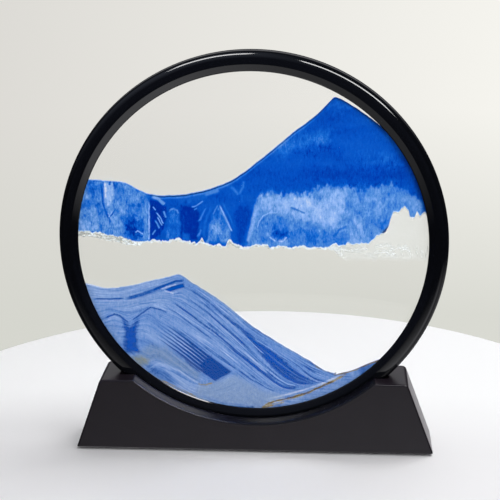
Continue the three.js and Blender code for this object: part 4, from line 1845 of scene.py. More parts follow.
BANK_LINES: tuple[Mark, ...] = (
    # Left zone.
    streak(
        (
            (99.2, 181.5), (101.1, 187.9), (101.7, 195.5), (103, 205.7), (105.6, 213.4), (108.8, 218.5),
            (109.4, 224.8),
        ),
        0.8, 0.15,
    ),
    patch(((103.2, 181.5), (113, 182), (113.2, 198), (110, 205.5), (106, 206), (104, 198)), 0.72, 0.7),
    streak(((104.3, 181.5), (104.6, 190), (105.6, 199)), 1, 0.9),
    streak(((109.2, 180.5), (108.6, 185.5)), 0.9, 0.1),
    streak(((112.8, 181.5), (114.6, 189)), 0.8, 0.15),
    streak(((116.4, 182), (116, 188)), 0.7, 0.2),
    streak(((115.1, 207.6), (111.9, 213.4), (108.8, 217.8)), 0.6, 0.2),
    streak(((113.2, 208.3), (108.1, 216.6)), 0.6, 0.7),
    streak(((134.3, 233.1), (136.8, 230.6), (143.2, 234.4)), 0.6, 0.7),
    streak(((136, 235.5), (142.5, 236.5)), 0.7, 0.02),
    streak(((145.8, 196), (145.8, 241)), 1.6, 0.5, 0.8),
    streak(((148.7, 198), (148.7, 241)), 0.6, 0.78),
    # Navy wedge.
    patch(
        ((149.8, 199), (158, 202), (166, 206), (166, 212), (164, 226), (160, 234), (150, 240.5)),
        0.0, 0.4,
    ),
    streak(((150.6, 195.6), (157, 198.6), (164.6, 204.3)), 1.7, 0.55),
    streak(((152, 206.3), (155.5, 210.2)), 0.55, 0.6),
    streak(((155.5, 210.9), (159.7, 217.2), (163.2, 224.2)), 0.6, 0.68),
    streak(((156.6, 215.8), (161.8, 225.6)), 0.55, 0.72),
    streak(((163.2, 210.2), (165.2, 218)), 0.9, 0.52),
    streak(((154.1, 219.3), (157, 224), (159, 228.5)), 0.8, 0.5),
    streak(((155.5, 229.1), (152, 234.5)), 0.7, 0.5),
    # Dome.
    streak(((168.2, 213.6), (170, 210), (173, 208.8), (176.6, 210.2), (178.5, 214)), 0.8, 0.45),
    # Navy band.
    patch(((180, 205), (193, 207), (199, 212), (199, 226), (197, 240), (180.5, 240)), 0.0, 0.8),
    streak(((183, 212), (183.2, 238)), 0.8, 0.1, 0.6),
    patch(((183, 233), (188, 234), (189, 240), (182, 240)), 0.3, 1, 0.7),
    # Feathers.
    streak(((189.9, 207), (194, 206.6), (197.6, 204.6), (203.2, 201)), 0.65, 0.52),
    streak(((193.5, 210), (197, 208)), 0.6, 0.4),
    streak(((196.9, 222.1), (200.4, 219.3), (202.5, 213), (206, 207.4)), 0.8, 0.38),
    streak(((196.9, 237.5), (199, 233), (201, 229)), 0.9, 0.38),
    streak(((203.5, 240), (204, 228), (207, 216), (212, 206)), 1.2, 0.22),
    streak(((203.2, 195.6), (211, 193.2), (219.4, 189.8)), 1.3, 0.48, 0.8, 0.9),
    # Triangle's edge.
    streak(((218.6, 203.5), (222.9, 212.3), (227.1, 221.4), (232, 232)), 0.65, 0.72),
    streak(((221.5, 201), (227.8, 213), (232.2, 224)), 0.8, 0.32, 0.8),
    streak(((218, 204.5), (212.8, 215)), 0.6, 0.4),
    # V.
    streak(((229.9, 186.3), (233.4, 189.1), (238.3, 195.4)), 1.2, 0.42, 0.8, 0.95),
    streak(((238.3, 195.4), (240.6, 192), (243.2, 187), (243.9, 180.5)), 1.1, 0.4, 0.8, 0.95),
    streak(((242.2, 194), (241.8, 203.2)), 1, 0.22, 0.8, 0.9),
    patch(((234, 214), (238, 206), (248, 206), (251, 213), (246, 230), (241, 244), (238, 244)), 0.05, 1.2),
    # Cloud's lines.
    streak(((257.4, 200.5), (255.4, 210.1), (251.8, 226.9), (247.6, 243)), 1.7, 0.66, 0.9, 0.8),
    streak(((257, 231), (258.5, 222), (263, 216), (270, 212.6), (279, 212.8)), 0.6, 0.75, 0.8),
    streak(((288.9, 207), (297, 210), (305.6, 213.5)), 0.7, 0.3),
    streak(((303, 201), (313, 206), (318, 210)), 0.8, 0.85, 0.7),
    streak(((330, 199), (338, 207), (345, 213)), 1.2, 0.8, 0.6, 0.9),
    streak(((352, 216), (358, 226), (364, 238)), 1.6, 0.72, 0.6, 0.9),
    streak(((300, 226), (306, 234), (309, 243)), 1.2, 0.2, 0.7, 0.9),
    streak(((332, 238), (340, 230), (348, 226)), 1, 0.16, 0.7, 0.9),
    streak(((268.8, 237), (272.8, 239.6), (275.5, 241.4)), 0.6, 0.8),
    streak(((278, 241.4), (282.9, 241), (286.9, 237)), 0.6, 0.8),
)

DUNE_LINES: tuple[Line, ...] = (
    DUNE_SURFACE,
    ((-83.0, -25.2),)
    + PHOTO.line((103, 298.8), (124, 298), (137, 294), (160, 286.8))
    + ((-34.6, -16.3), (-29.1, -19.3), (-21.7, -24.9), (-13.4, -32.3), (-2.1, -42.2))
    + PHOTO.line((272.7, 349), (297, 366), (315, 379))
    + ((36.0, -67.0),),
    ((-83.0, -26.0), (-70.3, -26.6), (-60.3, -26.8))
    + PHOTO.line((137, 298.5), (150, 295), (165, 290.5))
    + ((-37.6, -21.4),)
    + PHOTO.line(
        (181, 286), (190, 290), (206, 302), (222, 317), (242.4, 336.5), (263, 356.5), (284.8, 375.5),
        (297, 382.5), (316, 384),
    ),
    ((-83.0, -30.8),)
    + PHOTO.line(
        (103, 307.5), (124, 305.5), (137, 302), (150, 299.5), (160, 297.5), (167, 298.3), (190, 312),
        (209.7, 324.7), (232.7, 344.2), (260, 368.3), (275, 381), (290, 388), (310, 390),
    ),
    ((-83.0, -33.3),)
    + PHOTO.line(
        (97, 311.5), (106, 309.2), (118, 310.4), (128, 312.3), (137, 310.4), (149, 306.9), (160, 311),
        (175, 316), (195, 329.3), (218, 345.4), (240.7, 363.7), (260, 378.7), (280, 392),
    ),
    ((-83.0, -39.0),)
    + PHOTO.line(
        (92, 322), (100, 320), (106, 316), (113.3, 313.8), (121, 317), (128.2, 321.3), (136, 316),
    )
    + ((-49.3, -31.6),)
    + PHOTO.line((160.4, 319), (181, 332.7), (201.7, 348.8), (232.7, 371.8), (250, 385))
    + ((8.0, -74.0),),
    ((-83.0, -42.0),)
    + PHOTO.line((100, 330), (130, 330), (147, 332), (155.8, 339.6), (180, 358), (204, 376.4), (217, 380))
    + ((-9.8, -62.8), (-1.7, -69.0), (8.0, -74.5)),
    ((-70.0, -50.0),)
    + PHOTO.line(
        (128, 352), (140, 361), (147.7, 366), (158, 361.5), (170, 369), (195, 384), (212, 385.6), (222, 379),
    )
    + ((-11.6, -63.2), (-6.4, -66.3), (5.5, -72.2), (17.4, -75.0)),
)
DUNE_TONES: tuple[Point, ...] = (
    (0.6, 0.42), (0.5, 0.4), (0.56, 0.44), (0.6, 0.48), (0.5, 0.5), (0.48, 0.42), (0.45, 0.45), (0.6, 0.6),
)
DUNE_BED_THICKNESS = 5.0
DUNE_LINE_DEPTH: tuple[float, ...] = (0.0, 0.0, 0.0, 0.1, 0.1, 0.1, 0.05, 0.0)

DUNE_ZONES: tuple[Mark, ...] = (
    patch(
        (
            (140, 351), (150, 344), (165, 347), (185, 360), (200, 372), (197, 380), (180, 369),
            (160, 360), (144, 358),
        ),
        0.3, 2.5, share=Share.MURK_AND_SHADE,
    ),
    patch(((136, 353), (146, 351), (152, 358), (140, 361)), 0.3, 2, share=Share.MURK_AND_SHADE),
    patch(((131, 356), (140, 355.5), (148, 359.5), (147, 363.5), (139, 365)), 0.8, 1.6, share=Share.MURK_AND_SHADE),
    patch(
        (
            (199, 383), (206, 384.5), (216, 380.6), (226, 376), (235, 372.6), (262, 388), (285, 394),
            (255, 407), (225, 405), (195, 396),
        ),
        0.25, 2, share=Share.STRATA,
    ),
    patch(
        ((199, 384), (216, 381), (235, 374), (262, 390), (285, 396), (255, 406), (225, 402), (195, 393)),
        0.22, 2, share=Share.MURK_AND_SHADE,
    ),
    patch(
        (
            (199, 384), (206, 385.5), (216, 381.6), (226, 377), (235, 373.6), (262, 390), (285, 396),
            (255, 406), (225, 402), (195, 393),
        ),
        0.57, 1.2,
    ),
    patch(((105, 319), (113, 315), (122, 320), (124, 332), (122, 345), (112, 332)), 0.52, 1.5),
    patch(((140, 316), (152, 310), (165, 318), (160, 340), (142, 345), (137, 330)), 0.5, 3),
    patch(((158, 319), (231, 371), (214, 380), (154, 337)), 0.5, 1.5),
    patch(((165, 301), (186, 290), (212, 304), (240, 326), (232, 346), (205, 337)), 0.52, 4, 0.6),
    patch(
        (
            (215.7, 309), (226.4, 315.6), (244, 329.2), (258, 341.2), (273.3, 352), (290, 365.4),
            (306.7, 376.8), (317, 382.6), (302, 384.2), (287.8, 380), (274.4, 370.6), (260, 353),
            (243, 332), (225, 317.4),
        ),
        0.12, 0.4,
    ),
    patch(
        ((262, 353), (273, 354), (290, 367.5), (308, 379), (300, 382), (288, 377.5), (275, 368)),
        0.12, 1.2,
    ),
    patch(
        ((256, 344), (273, 352), (308, 378), (300, 383), (286, 379), (272, 368)),
        0.03, 1, share=Share.SPECKLE,
    ),
    patch(((200, 352), (211, 352), (234, 371), (214, 382), (200, 373)), 0.02, 1, share=Share.SPECKLE),
    patch(((200, 352), (211, 352), (234, 371), (214, 382), (200, 373)), 0.1, 1, share=Share.STRATA),
    streak(((262, 368), (275, 378), (286, 383.6), (299, 386)), 1.6, 0.18),
)

STRIPE_TOP: Line = PHOTO.line((158, 318.5), (170, 325.5), (186, 337), (205, 351.8), (231, 371))
STRIPE_FOOT: Line = PHOTO.line((154, 337), (171, 348.8), (186, 359.8), (202, 371.8), (214, 380))

DUNE_LINE_MARKS: tuple[Mark, ...] = (
    patch(
        (
            (122.5, 319), (129, 327.5), (137.5, 319.5), (135.5, 330), (135, 341), (138.5, 351),
            (125, 352.5), (123.5, 341), (125.5, 331),
        ),
        -0.06, 1.8,
    ),
    streak(((126.4, 332), (127, 346)), 0.6, 0.2, 0.5, 0.9),
    streak(((132.6, 333), (133, 348)), 0.7, 0.16, 0.5, 0.9),
    streak(((129, 327), (130, 338), (130.5, 348)), 2.6, -0.05, 0.9, 0.8),
    streak(((91, 298.3), (108, 298.6), (124, 298)), 0.7, 0.06),
    streak(((92, 300), (108, 300.4), (126, 300.4), (140, 299)), 0.8, 0.72, 0.7),
    streak(((123, 299), (140, 294.6), (153, 289.8), (166, 285.2)), 1.7, 0.12),
    streak(((150, 290.8), (165, 285), (175, 281), (184, 280)), 1, 0.02),
    streak(((159, 289.6), (168, 286.4), (176, 283.6)), 0.7, 0.8),
    patch(((165, 289.4), (172, 286), (183, 283), (184, 286.4), (169.5, 291)), -0.05, 0.35),
    streak(((163, 290), (168, 291.6), (174, 293.6)), 0.6, 0.8),
    streak(((98, 311), (110, 309), (120, 312), (132, 312), (145, 308), (152, 306)), 1.4, 0.36, 0.7),
    streak(((103, 320), (108, 316), (113.5, 313.6), (119, 315.5), (124, 319), (128.6, 322.5)), 0.7, 0.05),
    streak(((104, 321.5), (113, 315.8), (122, 320)), 0.5, 0.62, 0.7),
    streak(((128.6, 321.5), (137, 316), (145, 310), (150.5, 307), (158, 308.5), (168, 312.5)), 0.7, 0.1),
    streak(((152, 304.5), (158, 306), (166, 310)), 0.6, 0.8, 0.7),
    streak(((136, 303.5), (146, 303), (156, 302)), 0.5, 0.2, 0.6),
    streak(((168, 298.3), (181.7, 308.3), (196.6, 319), (214.8, 332.2), (238, 352)), 0.75, 0.05),
    streak(((158, 300), (176, 313), (196, 327), (214, 341)), 0.5, 0.2, 0.8),
    streak(((180, 292), (200, 307), (222, 325), (246, 346)), 0.6, 0.16, 0.8),
    streak(((186, 304), (206, 319), (228, 337)), 0.5, 0.66, 0.7),
    streak(((205, 305), (226.4, 320), (251, 342), (265, 355)), 0.55, 0.66),
    streak(((207, 297), (223, 310), (238, 320.5), (250, 331)), 0.55, 0.64, 0.8),
    streak(((188, 288), (206, 300), (222, 313)), 0.7, 0.1, 0.9),
    streak(((192, 286.5), (212, 299.5), (236, 316)), 0.5, 0.66, 0.8),
    streak(((226.5, 343.4), (240, 354.4), (262, 371), (274, 381), (283.3, 386.5), (298, 388)), 1.1, 0.04),
    streak(((213, 329.7), (243, 351.5), (263.2, 366.8), (279.3, 379), (288, 383.4), (300, 386)), 0.7, 0.7),
    streak(((232, 345.5), (252, 361), (268, 373.5)), 0.55, 0.66, 0.8),
    streak(((190.8, 331.4), (213, 345.5), (226.4, 353.8), (240, 364)), 0.55, 0.68),
    streak(((200, 344), (222, 360), (236, 368)), 0.6, 0.15, 0.8),
    streak(((235.7, 367.6), (249.4, 377.9), (267.8, 388.2), (276, 391)), 0.7, 0.16),
    streak(((236.4, 318.5), (270, 337.5), (307.7, 359.5), (325, 370.5)), 0.6, 0.12, 0.8),
    streak(((205, 402), (225, 405.5), (245, 407.5), (256, 406.5)), 1.8, 0.1, 0.8),
    streak(((199, 395), (222, 402), (244, 404)), 0.6, 0.3, 0.6),
    streak(((210, 391), (222, 388.5), (238, 382)), 0.6, 0.36, 0.5),
    streak(((204, 396), (220, 393), (236, 388)), 0.5, 0.72, 0.5),
    patch(
        ((147, 367), (152, 365.5), (160, 368), (170, 375), (178.6, 384), (168, 381.5), (156, 376)),
        0.26, 1.3,
    ),
    streak(((148, 366.5), (155, 366), (164, 371)), 1.2, 0.5, 0.7),
    streak(((147, 364), (155, 361.5), (161, 363), (182, 371.5), (199, 384)), 1.2, 0.72, 0.8),
    streak(((156, 364.5), (172, 371), (188, 380)), 0.6, 0.25, 0.7),
    streak(((165, 361), (182, 371), (197, 381)), 0.5, 0.3, 0.6),
    patch(((209, 355), (231, 371), (215.3, 380), (204, 373), (200, 364)), 0.02, 0.7),
    streak(((206, 358), (218, 367), (226, 373)), 0.6, 0.06, 0.8),
    streak(((203, 363), (213, 371), (220, 376.5)), 0.6, 0.06, 0.8),
    streak(((210, 357), (222, 366), (229, 371)), 0.4, 0.14, 0.6),
)

GOLD_MARKS: tuple[Mark, ...] = (
    streak(
        ((262, 399), (275, 396.5), (290, 393), (305, 388.6), (320, 383.7), (335, 377), (341, 373.4)),
        0.9, 0.86, 0.9, 0.7,
    ),
    streak(
        ((257, 408), (262, 406.4), (268, 402.8), (275, 400.4), (290, 397.2), (305, 392.8), (313, 389.4)),
        1.2, 0.95, soft=0.8, share=Share.GOLD,
    ),
    streak(((305, 392.4), (320, 386.2), (335, 379.4), (347, 372.6)), 1.1, 0.9, soft=0.8, share=Share.GOLD),
    streak(((312, 363.6), (322, 369), (333, 373)), 0.7, 0.55, soft=0.9, share=Share.GOLD),
    streak(((258, 408.2), (266, 406), (275, 403.4), (285, 401)), 0.9, 0.8, soft=0.8, share=Share.GOLD),
    streak(
        ((262, 405.9), (268, 402.6), (275, 400.2), (290, 397), (305, 392.6), (320, 386.4), (335, 379.6)),
        0.5, 0.05, 0.9,
    ),
    streak(((133, 357.4), (140, 358.6), (147, 360.4)), 1.8, 0.6, soft=0.9, share=Share.GOLD),
    streak(((157, 377.6), (170, 383.6), (182, 389.4), (197, 396.6)), 0.9, 0.5, soft=0.8, share=Share.GOLD),
    streak(((196, 382), (201, 383.8), (206, 384), (213, 381.8)), 0.9, 0.5, soft=0.8, share=Share.GOLD),
)


@dataclass
class WheelRim:
    """The two lapped ring mouldings of the wheel, in millimetres."""

    outer_radius: float = 90.0
    edge_radius: float = 3.2
    flat_inner_radius: float = 84.0
    opening_radius: float = 80.8
    rear_opening_radius: float = 83.2
    bore_radius: float = 87.0
    lap_radius: float = 88.5
    face: float = 4.4
    bevel_depth: float = 0.9
    lip_seat: float = 3.05
    chamfer: float = 0.4
    chamfer_drop: float = 0.3
    lap: float = 2.0
    seat_gap: float = 0.2
    parting_round: float = 0.3
    nose_round: float = 0.12
    bevel_round: float = 0.4
    steps: int = 256
    fillet_steps: int = 8
    crease: float = 35.0

    def _face(self, opening_radius: float) -> list[tuple[float, float, float]]:
        """Draws the front of a half, from its lip over the bevel and the flat to the outer wall.

        Args:
            opening_radius: Inner radius of the lip.

        Returns:
            Radius, depth and fillet of each corner.
        """
        slope = self.bevel_depth / (self.flat_inner_radius - self.opening_radius)
        nose = self.face - slope * (self.flat_inner_radius - opening_radius)
        return [
            (opening_radius, self.lip_seat, 0.0),
            (opening_radius, nose + slope * self.chamfer - self.chamfer_drop, 0.0),
            (opening_radius + self.chamfer, nose + slope * self.chamfer, self.nose_round),
            (self.flat_inner_radius, self.face, self.bevel_round),
            (self.outer_radius, self.face, self.edge_radius),
        ]

    def build(self, material: bpy.types.Material) -> list[bpy.types.Object]:
        """Spins, rounds and dresses both halves.

        Args:
            material: Finish of both.

        Returns:
            The two rings.
        """
        rings = []
        half_gap = self.seat_gap / 2
        front = [(radius, -depth, fillet) for radius, depth, fillet in self._face(self.opening_radius)] + [
            (self.outer_radius, -half_gap, self.parting_round),
            (self.lap_radius - half_gap, -half_gap, 0.0),
            (self.lap_radius - half_gap, self.lap, 0.0),
            (self.bore_radius, self.lap, 0.0),
            (self.bore_radius, -self.lip_seat, 0.0),
        ]
        rear = self._face(self.rear_opening_radius) + [
            (self.outer_radius, half_gap, self.parting_round),
            (self.lap_radius + half_gap, half_gap, 0.0),
            (self.lap_radius + half_gap, self.lap + self.seat_gap, 0.0),
            (self.bore_radius, self.lap + self.seat_gap, 0.0),
            (self.bore_radius, self.lip_seat, 0.0),
        ]
        for name, corners in (("front", front), ("rear", rear)):
            section = rounded_section(corners, self.fillet_steps)
            ring = Bench.turned(f"{name}_rim_ring", section, self.steps)
            Bench.smooth(ring, self.crease)
            Bench.dress(ring, material)
            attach(ring, "wheel")
            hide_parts(f"{name}_rim")
            rings.append(ring)
            LOG.info("built %s", ring.name)
        return rings


@dataclass
class Stand:
    """The trapezoid stand with its cradle, in millimetres."""

    foot_width: float = 170.5
    top_width: float = 144.8
    foot_height: float = 1.0
    top_height: float = 36.2
    half_depth: float = 12.2
    shoulder_round: float = 1.6
    edge_round: float = 0.8
    cradle_radius: float = 90.4
    cradle_face: float = 4.8
    lip_radius: float = 85.0
    lip_round: float = 0.7
    plate_half_width: float = 82.7
    plate_half_depth: float = 9.8
    plate_top: float = 3.2
    slot_round: float = 0.2
    slot_edge_round: float = 0.3
    cutter_past: float = 5.0
    steps: int = 256
    shoulder_steps: int = 5
    edge_steps: int = 4
    flare_steps: int = 7
    slot_steps: int = 4
    sharp: float = 40.0
    crease: float = 35.0
    normal_weight: int = 80

    def _block(self) -> bpy.types.Object:
        """Builds the trapezoid block with rounded edges.

        Returns:
            The block, without its cradle.
        """
        middle = (self.foot_height + self.top_height) / 2
        Bench.clear_selection()
        bpy.ops.mesh.primitive_cube_add(
            size=1.0,
            location=mm(0, 0, middle),
            scale=mm(self.foot_width, 2 * self.half_depth, self.top_height - self.foot_height),
        )
        block = Bench.named("stand_body")
        with Bench.editing(block) as cage:
            for vertex in cage.verts:
                vertex.select = vertex.co.z > middle * MM
            cage.select_flush_mode()
            taper = self.top_width / self.foot_width
            bpy.ops.transform.resize(value=(taper, 1.0, 1.0), center_override=mm(0, 0, self.top_height))
            bpy.ops.mesh.select_mode(type="EDGE")
            bpy.ops.mesh.select_all(action="DESELECT")
            for edge in cage.edges:
                along = edge.verts[1].co - edge.verts[0].co
                high = min(vertex.co.z for vertex in edge.verts) > middle * MM
                edge.select = high and abs(along.y) > abs(along.x)
            bpy.ops.mesh.bevel(offset=self.shoulder_round * MM, segments=self.shoulder_steps, affect="EDGES")
            bpy.ops.mesh.select_all(action="DESELECT")
            bpy.ops.mesh.edges_select_sharp(sharpness=math.radians(self.sharp))
            bpy.ops.mesh.bevel(offset=self.edge_round * MM, segments=self.edge_steps, affect="EDGES")
            Bench.close_and_face_out()
        return block

    def _cut(self, block: bpy.types.Object, cutter: bpy.types.Object) -> None:
        """Takes a cutter out of the block and puts the cutter away."""
        Bench.apply(block, "BOOLEAN", {"operation": "DIFFERENCE", "solver": "EXACT", "object": cutter})
        bpy.data.objects.remove(cutter)

    def build(self, material: bpy.types.Material) -> None:
        """Builds and dresses the stand.

        Args:
            material: Its finish.
        """
        block = self._block()
        past = self.half_depth + self.cutter_past
        side = [
            (self.cradle_radius, self.cradle_face, self.slot_round),
            (self.lip_radius, self.cradle_face, self.slot_edge_round),
        ]
        flare = [
            (
                self.lip_radius + self.lip_round * (1 - math.cos(turn)),
                self.half_depth - self.lip_round * (1 - math.sin(turn)),
                0.0,
            )
            for turn in np.linspace(0.0, math.pi / 2, self.flare_steps)
        ]
        rear = side + flare + [(self.lip_radius + self.lip_round, past, 0.0), (0.0, past, 0.0)]
        front = [(radius, -depth, fillet) for radius, depth, fillet in reversed(rear)]
        section = rounded_section(front + rear, self.slot_steps)
        self._cut(block, Bench.turned("cradle_cutter", section, self.steps))
        Bench.clear_selection()
        bpy.ops.mesh.primitive_cube_add(
            size=1.0,
            location=mm(0, 0, 0),
            scale=mm(2 * self.plate_half_width, 2 * self.plate_half_depth, 2 * self.plate_top),
        )
        self._cut(block, Bench.named("plate_cutter"))
        Bench.smooth(block, self.crease)
        Bench.apply(block, "WEIGHTED_NORMAL", {"keep_sharp": True, "weight": self.normal_weight})
        Bench.dress(block, material)
        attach(block, "stand")
        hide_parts("stand_shell")
        LOG.info("built %s", block.name)


@dataclass(frozen=True)
class Lamp:
    """A soft lamp that faces the wheel, in metres, watts and radians."""

    name: str
    place: tuple[float, float, float]
    size: Point
    power: float
    lean: float = 0.0
    mirrored: bool = True
    lights: bool = True
    rim_only: bool = False

    def hang(self, rim: bpy.types.Collection) -> None:
        """Hangs the lamp.

        Args:
            rim: What a lamp for the rim alone lights.
        """
        bpy.ops.object.light_add(type="AREA", location=self.place)
        lamp = bpy.context.active_object
        lamp.name = self.name
        lamp.data.shape = "RECTANGLE"
        lamp.data.size, lamp.data.size_y = self.size
        lamp.data.energy = self.power
        lamp.visible_transmission = False
        lamp.visible_glossy = self.mirrored
        lamp.visible_diffuse = self.lights
        aim = Vector(mm(0, 0, AXIS_HEIGHT)) - Vector(self.place)
        facing = aim.to_track_quat("-Z", "Y").to_matrix() @ Matrix.Rotation(self.lean, 3, "Z")
        lamp.rotation_euler = facing.to_euler()
        if self.rim_only:
            lamp.light_linking.receiver_collection = rim


@dataclass(frozen=True)
class Studio:
    """Round pale table, soft lamps and a pale room, in metres.

    A Point of the room holds where a change starts and where it is full, along a part of the direction.
    """

    table_radius: float = 0.208
    table_y: float = -0.015
    table_thickness: float = 0.03
    table_steps: int = 192
    table_round: float = 0.008
    table_round_steps: int = 6
    table_sharp: float = 60.0
    table_crease: float = 40.0
    table_colour: Colour = srgb(244, 243, 244)
    # Painted light: the back of the tabletop is whiter.
    table_back_painted_light: Colour = srgb(255, 255, 255)
    table_turn: Point = (-0.01, 0.06)
    table_roughness: float = 0.55
    table_specular: float = 0.2
    lamps: tuple[Lamp, ...] = (
        Lamp("soft_front", place=(0.5, -0.85, 0.8), size=(0.9, 0.6), power=2.6, mirrored=False),
        Lamp("ceiling", place=(0.4, 0.15, 1.15), size=(0.9, 0.9), power=11.0, mirrored=False),
        Lamp("window_right", place=(0.56, -0.7, 0.87), size=(0.7, 0.3), power=10.5, lean=-0.57, lights=False),
        Lamp(
            "window_left",
            place=(-0.35, -0.5, 1.12),
            size=(0.6, 0.3),
            power=8.5,
            lean=0.3,
            lights=False,
            rim_only=True,
        ),
    )
    wall_left: Colour = srgb(219, 217, 212)
    wall_right: Colour = srgb(252, 251, 245)
    wall_low: Colour = srgb(212, 213, 205)
    wall_turn: Point = (-0.3, 0.25)
    wall_fall: Point = (-0.18, -0.34)
    wall_low_share: float = 0.85
    room_dark: Colour = (0.02, 0.02, 0.026, 1.0)
    haze: Colour = (0.06, 0.065, 0.1, 1.0)
    haze_ahead: Point = (-0.6, -0.9)
    haze_level: Point = (-0.28, -0.12)
    sky_glow: Colour = (0.36, 0.4, 0.52, 1.0)
    glow_up: Point = (0.0, 0.6)
    glow_left: Point = (0.35, -0.15)
    glow_before: Point = (0.2, -0.2)
    floor_light: Colour = (0.75, 0.75, 0.78, 1.0)
    back_light: Point = (0.4, 0.8)
    back_light_up: Point = (0.2, 0.34)
    floor_start: Point = (-0.34, -0.46)
    floor_width: Point = (-0.65, 0.65)
    floor_turn: Point = (-0.6, -0.68)
    floor_far: tuple[Point, ...] = (
        (0.0, 0.04),
        (0.19, 0.5),
        (0.31, 0.68),
        (0.4, 0.85),
        (0.5, 1.25),
        (0.56, 1.6),
        (0.63, 1.5),
    )
    floor_near: tuple[Point, ...] = (
        (0.0, 0.04),
        (0.08, 0.1),
        (0.18, 0.5),
        (0.25, 1.4),
        (0.37, 1.0),
        (0.5, 0.4),
        (0.63, 0.35),
        (0.75, 0.5),
        (0.88, 0.7),
        (0.98, 0.5),
    )
    ambient: float = 0.3
    ambient_colour: Colour = srgb(250, 251, 255)
    wheel_only: bpy.types.Collection = field(default_factory=lambda: bpy.data.collections.new("wheel_only"))

    def build(self) -> None:
        """Builds the table, the lamps and the room."""
        self._table()
        for lamp in self.lamps:
            lamp.hang(self.wheel_only)
        self._room()
        bpy.context.scene.view_settings.view_transform = "Standard"

    def _table(self) -> None:
        """Builds the tabletop with a rounded edge, painted whiter towards its back."""
        Bench.clear_selection()
        bpy.ops.mesh.primitive_cylinder_add(
            vertices=self.table_steps,
            radius=self.table_radius,
            depth=self.table_thickness,
            location=(0, self.table_y, -self.table_thickness / 2),
        )
        table = Bench.named("tabletop")
        with Bench.editing(table):
            bpy.ops.mesh.select_mode(type="EDGE")
            bpy.ops.mesh.edges_select_sharp(sharpness=math.radians(self.table_sharp))
            bpy.ops.mesh.bevel(offset=self.table_round, segments=self.table_round_steps, affect="EDGES")
        Bench.smooth(table, self.table_crease)
        material = bpy.data.materials.new("pale_table")
        material.use_nodes = True
        sketch = NodeSketch(material.node_tree)
        place = sketch.add("TexCoord").outputs["Object"]
        # Painted light: the tabletop turns whiter towards its back.
        depth = sketch.add("SeparateXYZ", {0: place}).outputs["Y"]
        back = sketch.remap(depth, *self.table_turn)
        finish = {
            "Base Color": sketch.blend(back, self.table_colour, self.table_back_painted_light),
            "Roughness": self.table_roughness,
            "Specular IOR Level": self.table_specular,
        }
        shader = sketch.add("BsdfPrincipled", finish)
        sketch.add("OutputMaterial", {"Surface": shader.outputs[0]})
        Bench.dress(table, material)
        table.visible_glossy = False

    def _room(self) -> None:
        """Builds the pale room: its wall for the eye and through glass, mirrored dark but for the floor."""
        world = bpy.data.worlds.new("pale_room")
        bpy.context.scene.world = world
        world.use_nodes = True
        sketch = NodeSketch(world.node_tree)
        direction = sketch.add("TexCoord").outputs["Generated"]
        across, along, up = sketch.add("SeparateXYZ", {0: direction}).outputs
        side = sketch.remap(across, *self.wall_turn)
        low = sketch.remap(up, *self.wall_fall, 0.0, self.wall_low_share)
        wall = sketch.blend(low, sketch.blend(side, self.wall_left, self.wall_right), self.wall_low)
        level = sketch.remap(up, *self.haze_level)
        hazy = sketch.math("MULTIPLY", sketch.remap(along, *self.haze_ahead), level)
        leftward = sketch.remap(across, *self.glow_left)
        glow = sketch.math("MULTIPLY", leftward, sketch.remap(along, *self.glow_before))
        glow = sketch.math("MULTIPLY", sketch.remap(up, *self.glow_up), glow)
        high = sketch.remap(up, *self.back_light_up)
        behind = sketch.math("MULTIPLY", sketch.remap(along, *self.back_light), high)
        gloss = sketch.blend(hazy, self.room_dark, self.haze)
        gloss = sketch.blend(glow, gloss, self.sky_glow)
        gloss = sketch.blend(behind, gloss, self.floor_light)
        width = sketch.remap(across, *self.floor_width)
        near, far = (sketch.ramp(width, self._lit(shares)) for shares in (self.floor_near, self.floor_far))
        floor = sketch.blend(sketch.remap(along, *self.floor_turn), near, far)
        gloss = sketch.blend(sketch.remap(up, *self.floor_start), gloss, floor)
        seen = sketch.add("Background", {"Color": wall})
        ambient = sketch.add("Background", {"Color": self.ambient_colour, "Strength": self.ambient})
        mirrored = sketch.add("Background", {"Color": gloss})
        path = sketch.add("LightPath")
        direct = sketch.math("MAXIMUM", path.outputs["Is Camera Ray"], path.outputs["Is Transmission Ray"])
        straight = sketch.add("MixShader", {0: direct, 1: ambient.outputs[0], 2: seen.outputs[0]})
        bounced = sketch.math("MINIMUM", path.outputs["Glossy Depth"], 1.0)
        both = sketch.add("MixShader", {0: bounced, 1: straight.outputs[0], 2: mirrored.outputs[0]})
        sketch.add("OutputWorld", {"Surface": both.outputs[0]})

    def _lit(self, shares: Sequence[Point]) -> list[tuple[float, list[float]]]:
        """Lights a strip of floor.

        Args:
            shares: Place across the strip, and how bright it is there.

        Returns:
            Stops of a colour ramp.
        """
        return [(place, [share * part for part in self.floor_light[:3]] + [1.0]) for place, share in shares]


@dataclass(frozen=True)
class PhotoCamera:
    """Camera of the photograph, in degrees and metres."""

    azimuth: float = 4.4
    elevation: float = 17.05
    roll: float = -0.77
    distance: float = 0.5622
    aim: tuple[float, float, float] = (-0.00113, 0.0, 0.09743)
    focal_share: float = 1213.7 / 500.0
    sensor: float = 36.0
    nearest: float = 0.01

    def place(self) -> None:
        """Sets the camera up and makes it the scene's."""
        turn, lift, roll = (math.radians(angle) for angle in (self.azimuth, self.elevation, self.roll))
        back = Vector((math.sin(turn) * math.cos(lift), -math.cos(turn) * math.cos(lift), math.sin(lift)))
        right = Vector((math.cos(turn), math.sin(turn), 0.0))
        up = back.cross(right)
        across = right * math.cos(roll) + up * math.sin(roll)
        upright = up * math.cos(roll) - right * math.sin(roll)
        bpy.ops.object.camera_add(location=Vector(self.aim) + back * self.distance)
        camera = bpy.context.active_object
        camera.name = "photo_camera"
        camera.rotation_euler = Matrix((across, upright, back)).transposed().to_euler()
        camera.data.sensor_width = self.sensor
        camera.data.lens = self.focal_share * self.sensor
        camera.data.clip_start = self.nearest
        bpy.context.scene.camera = camera


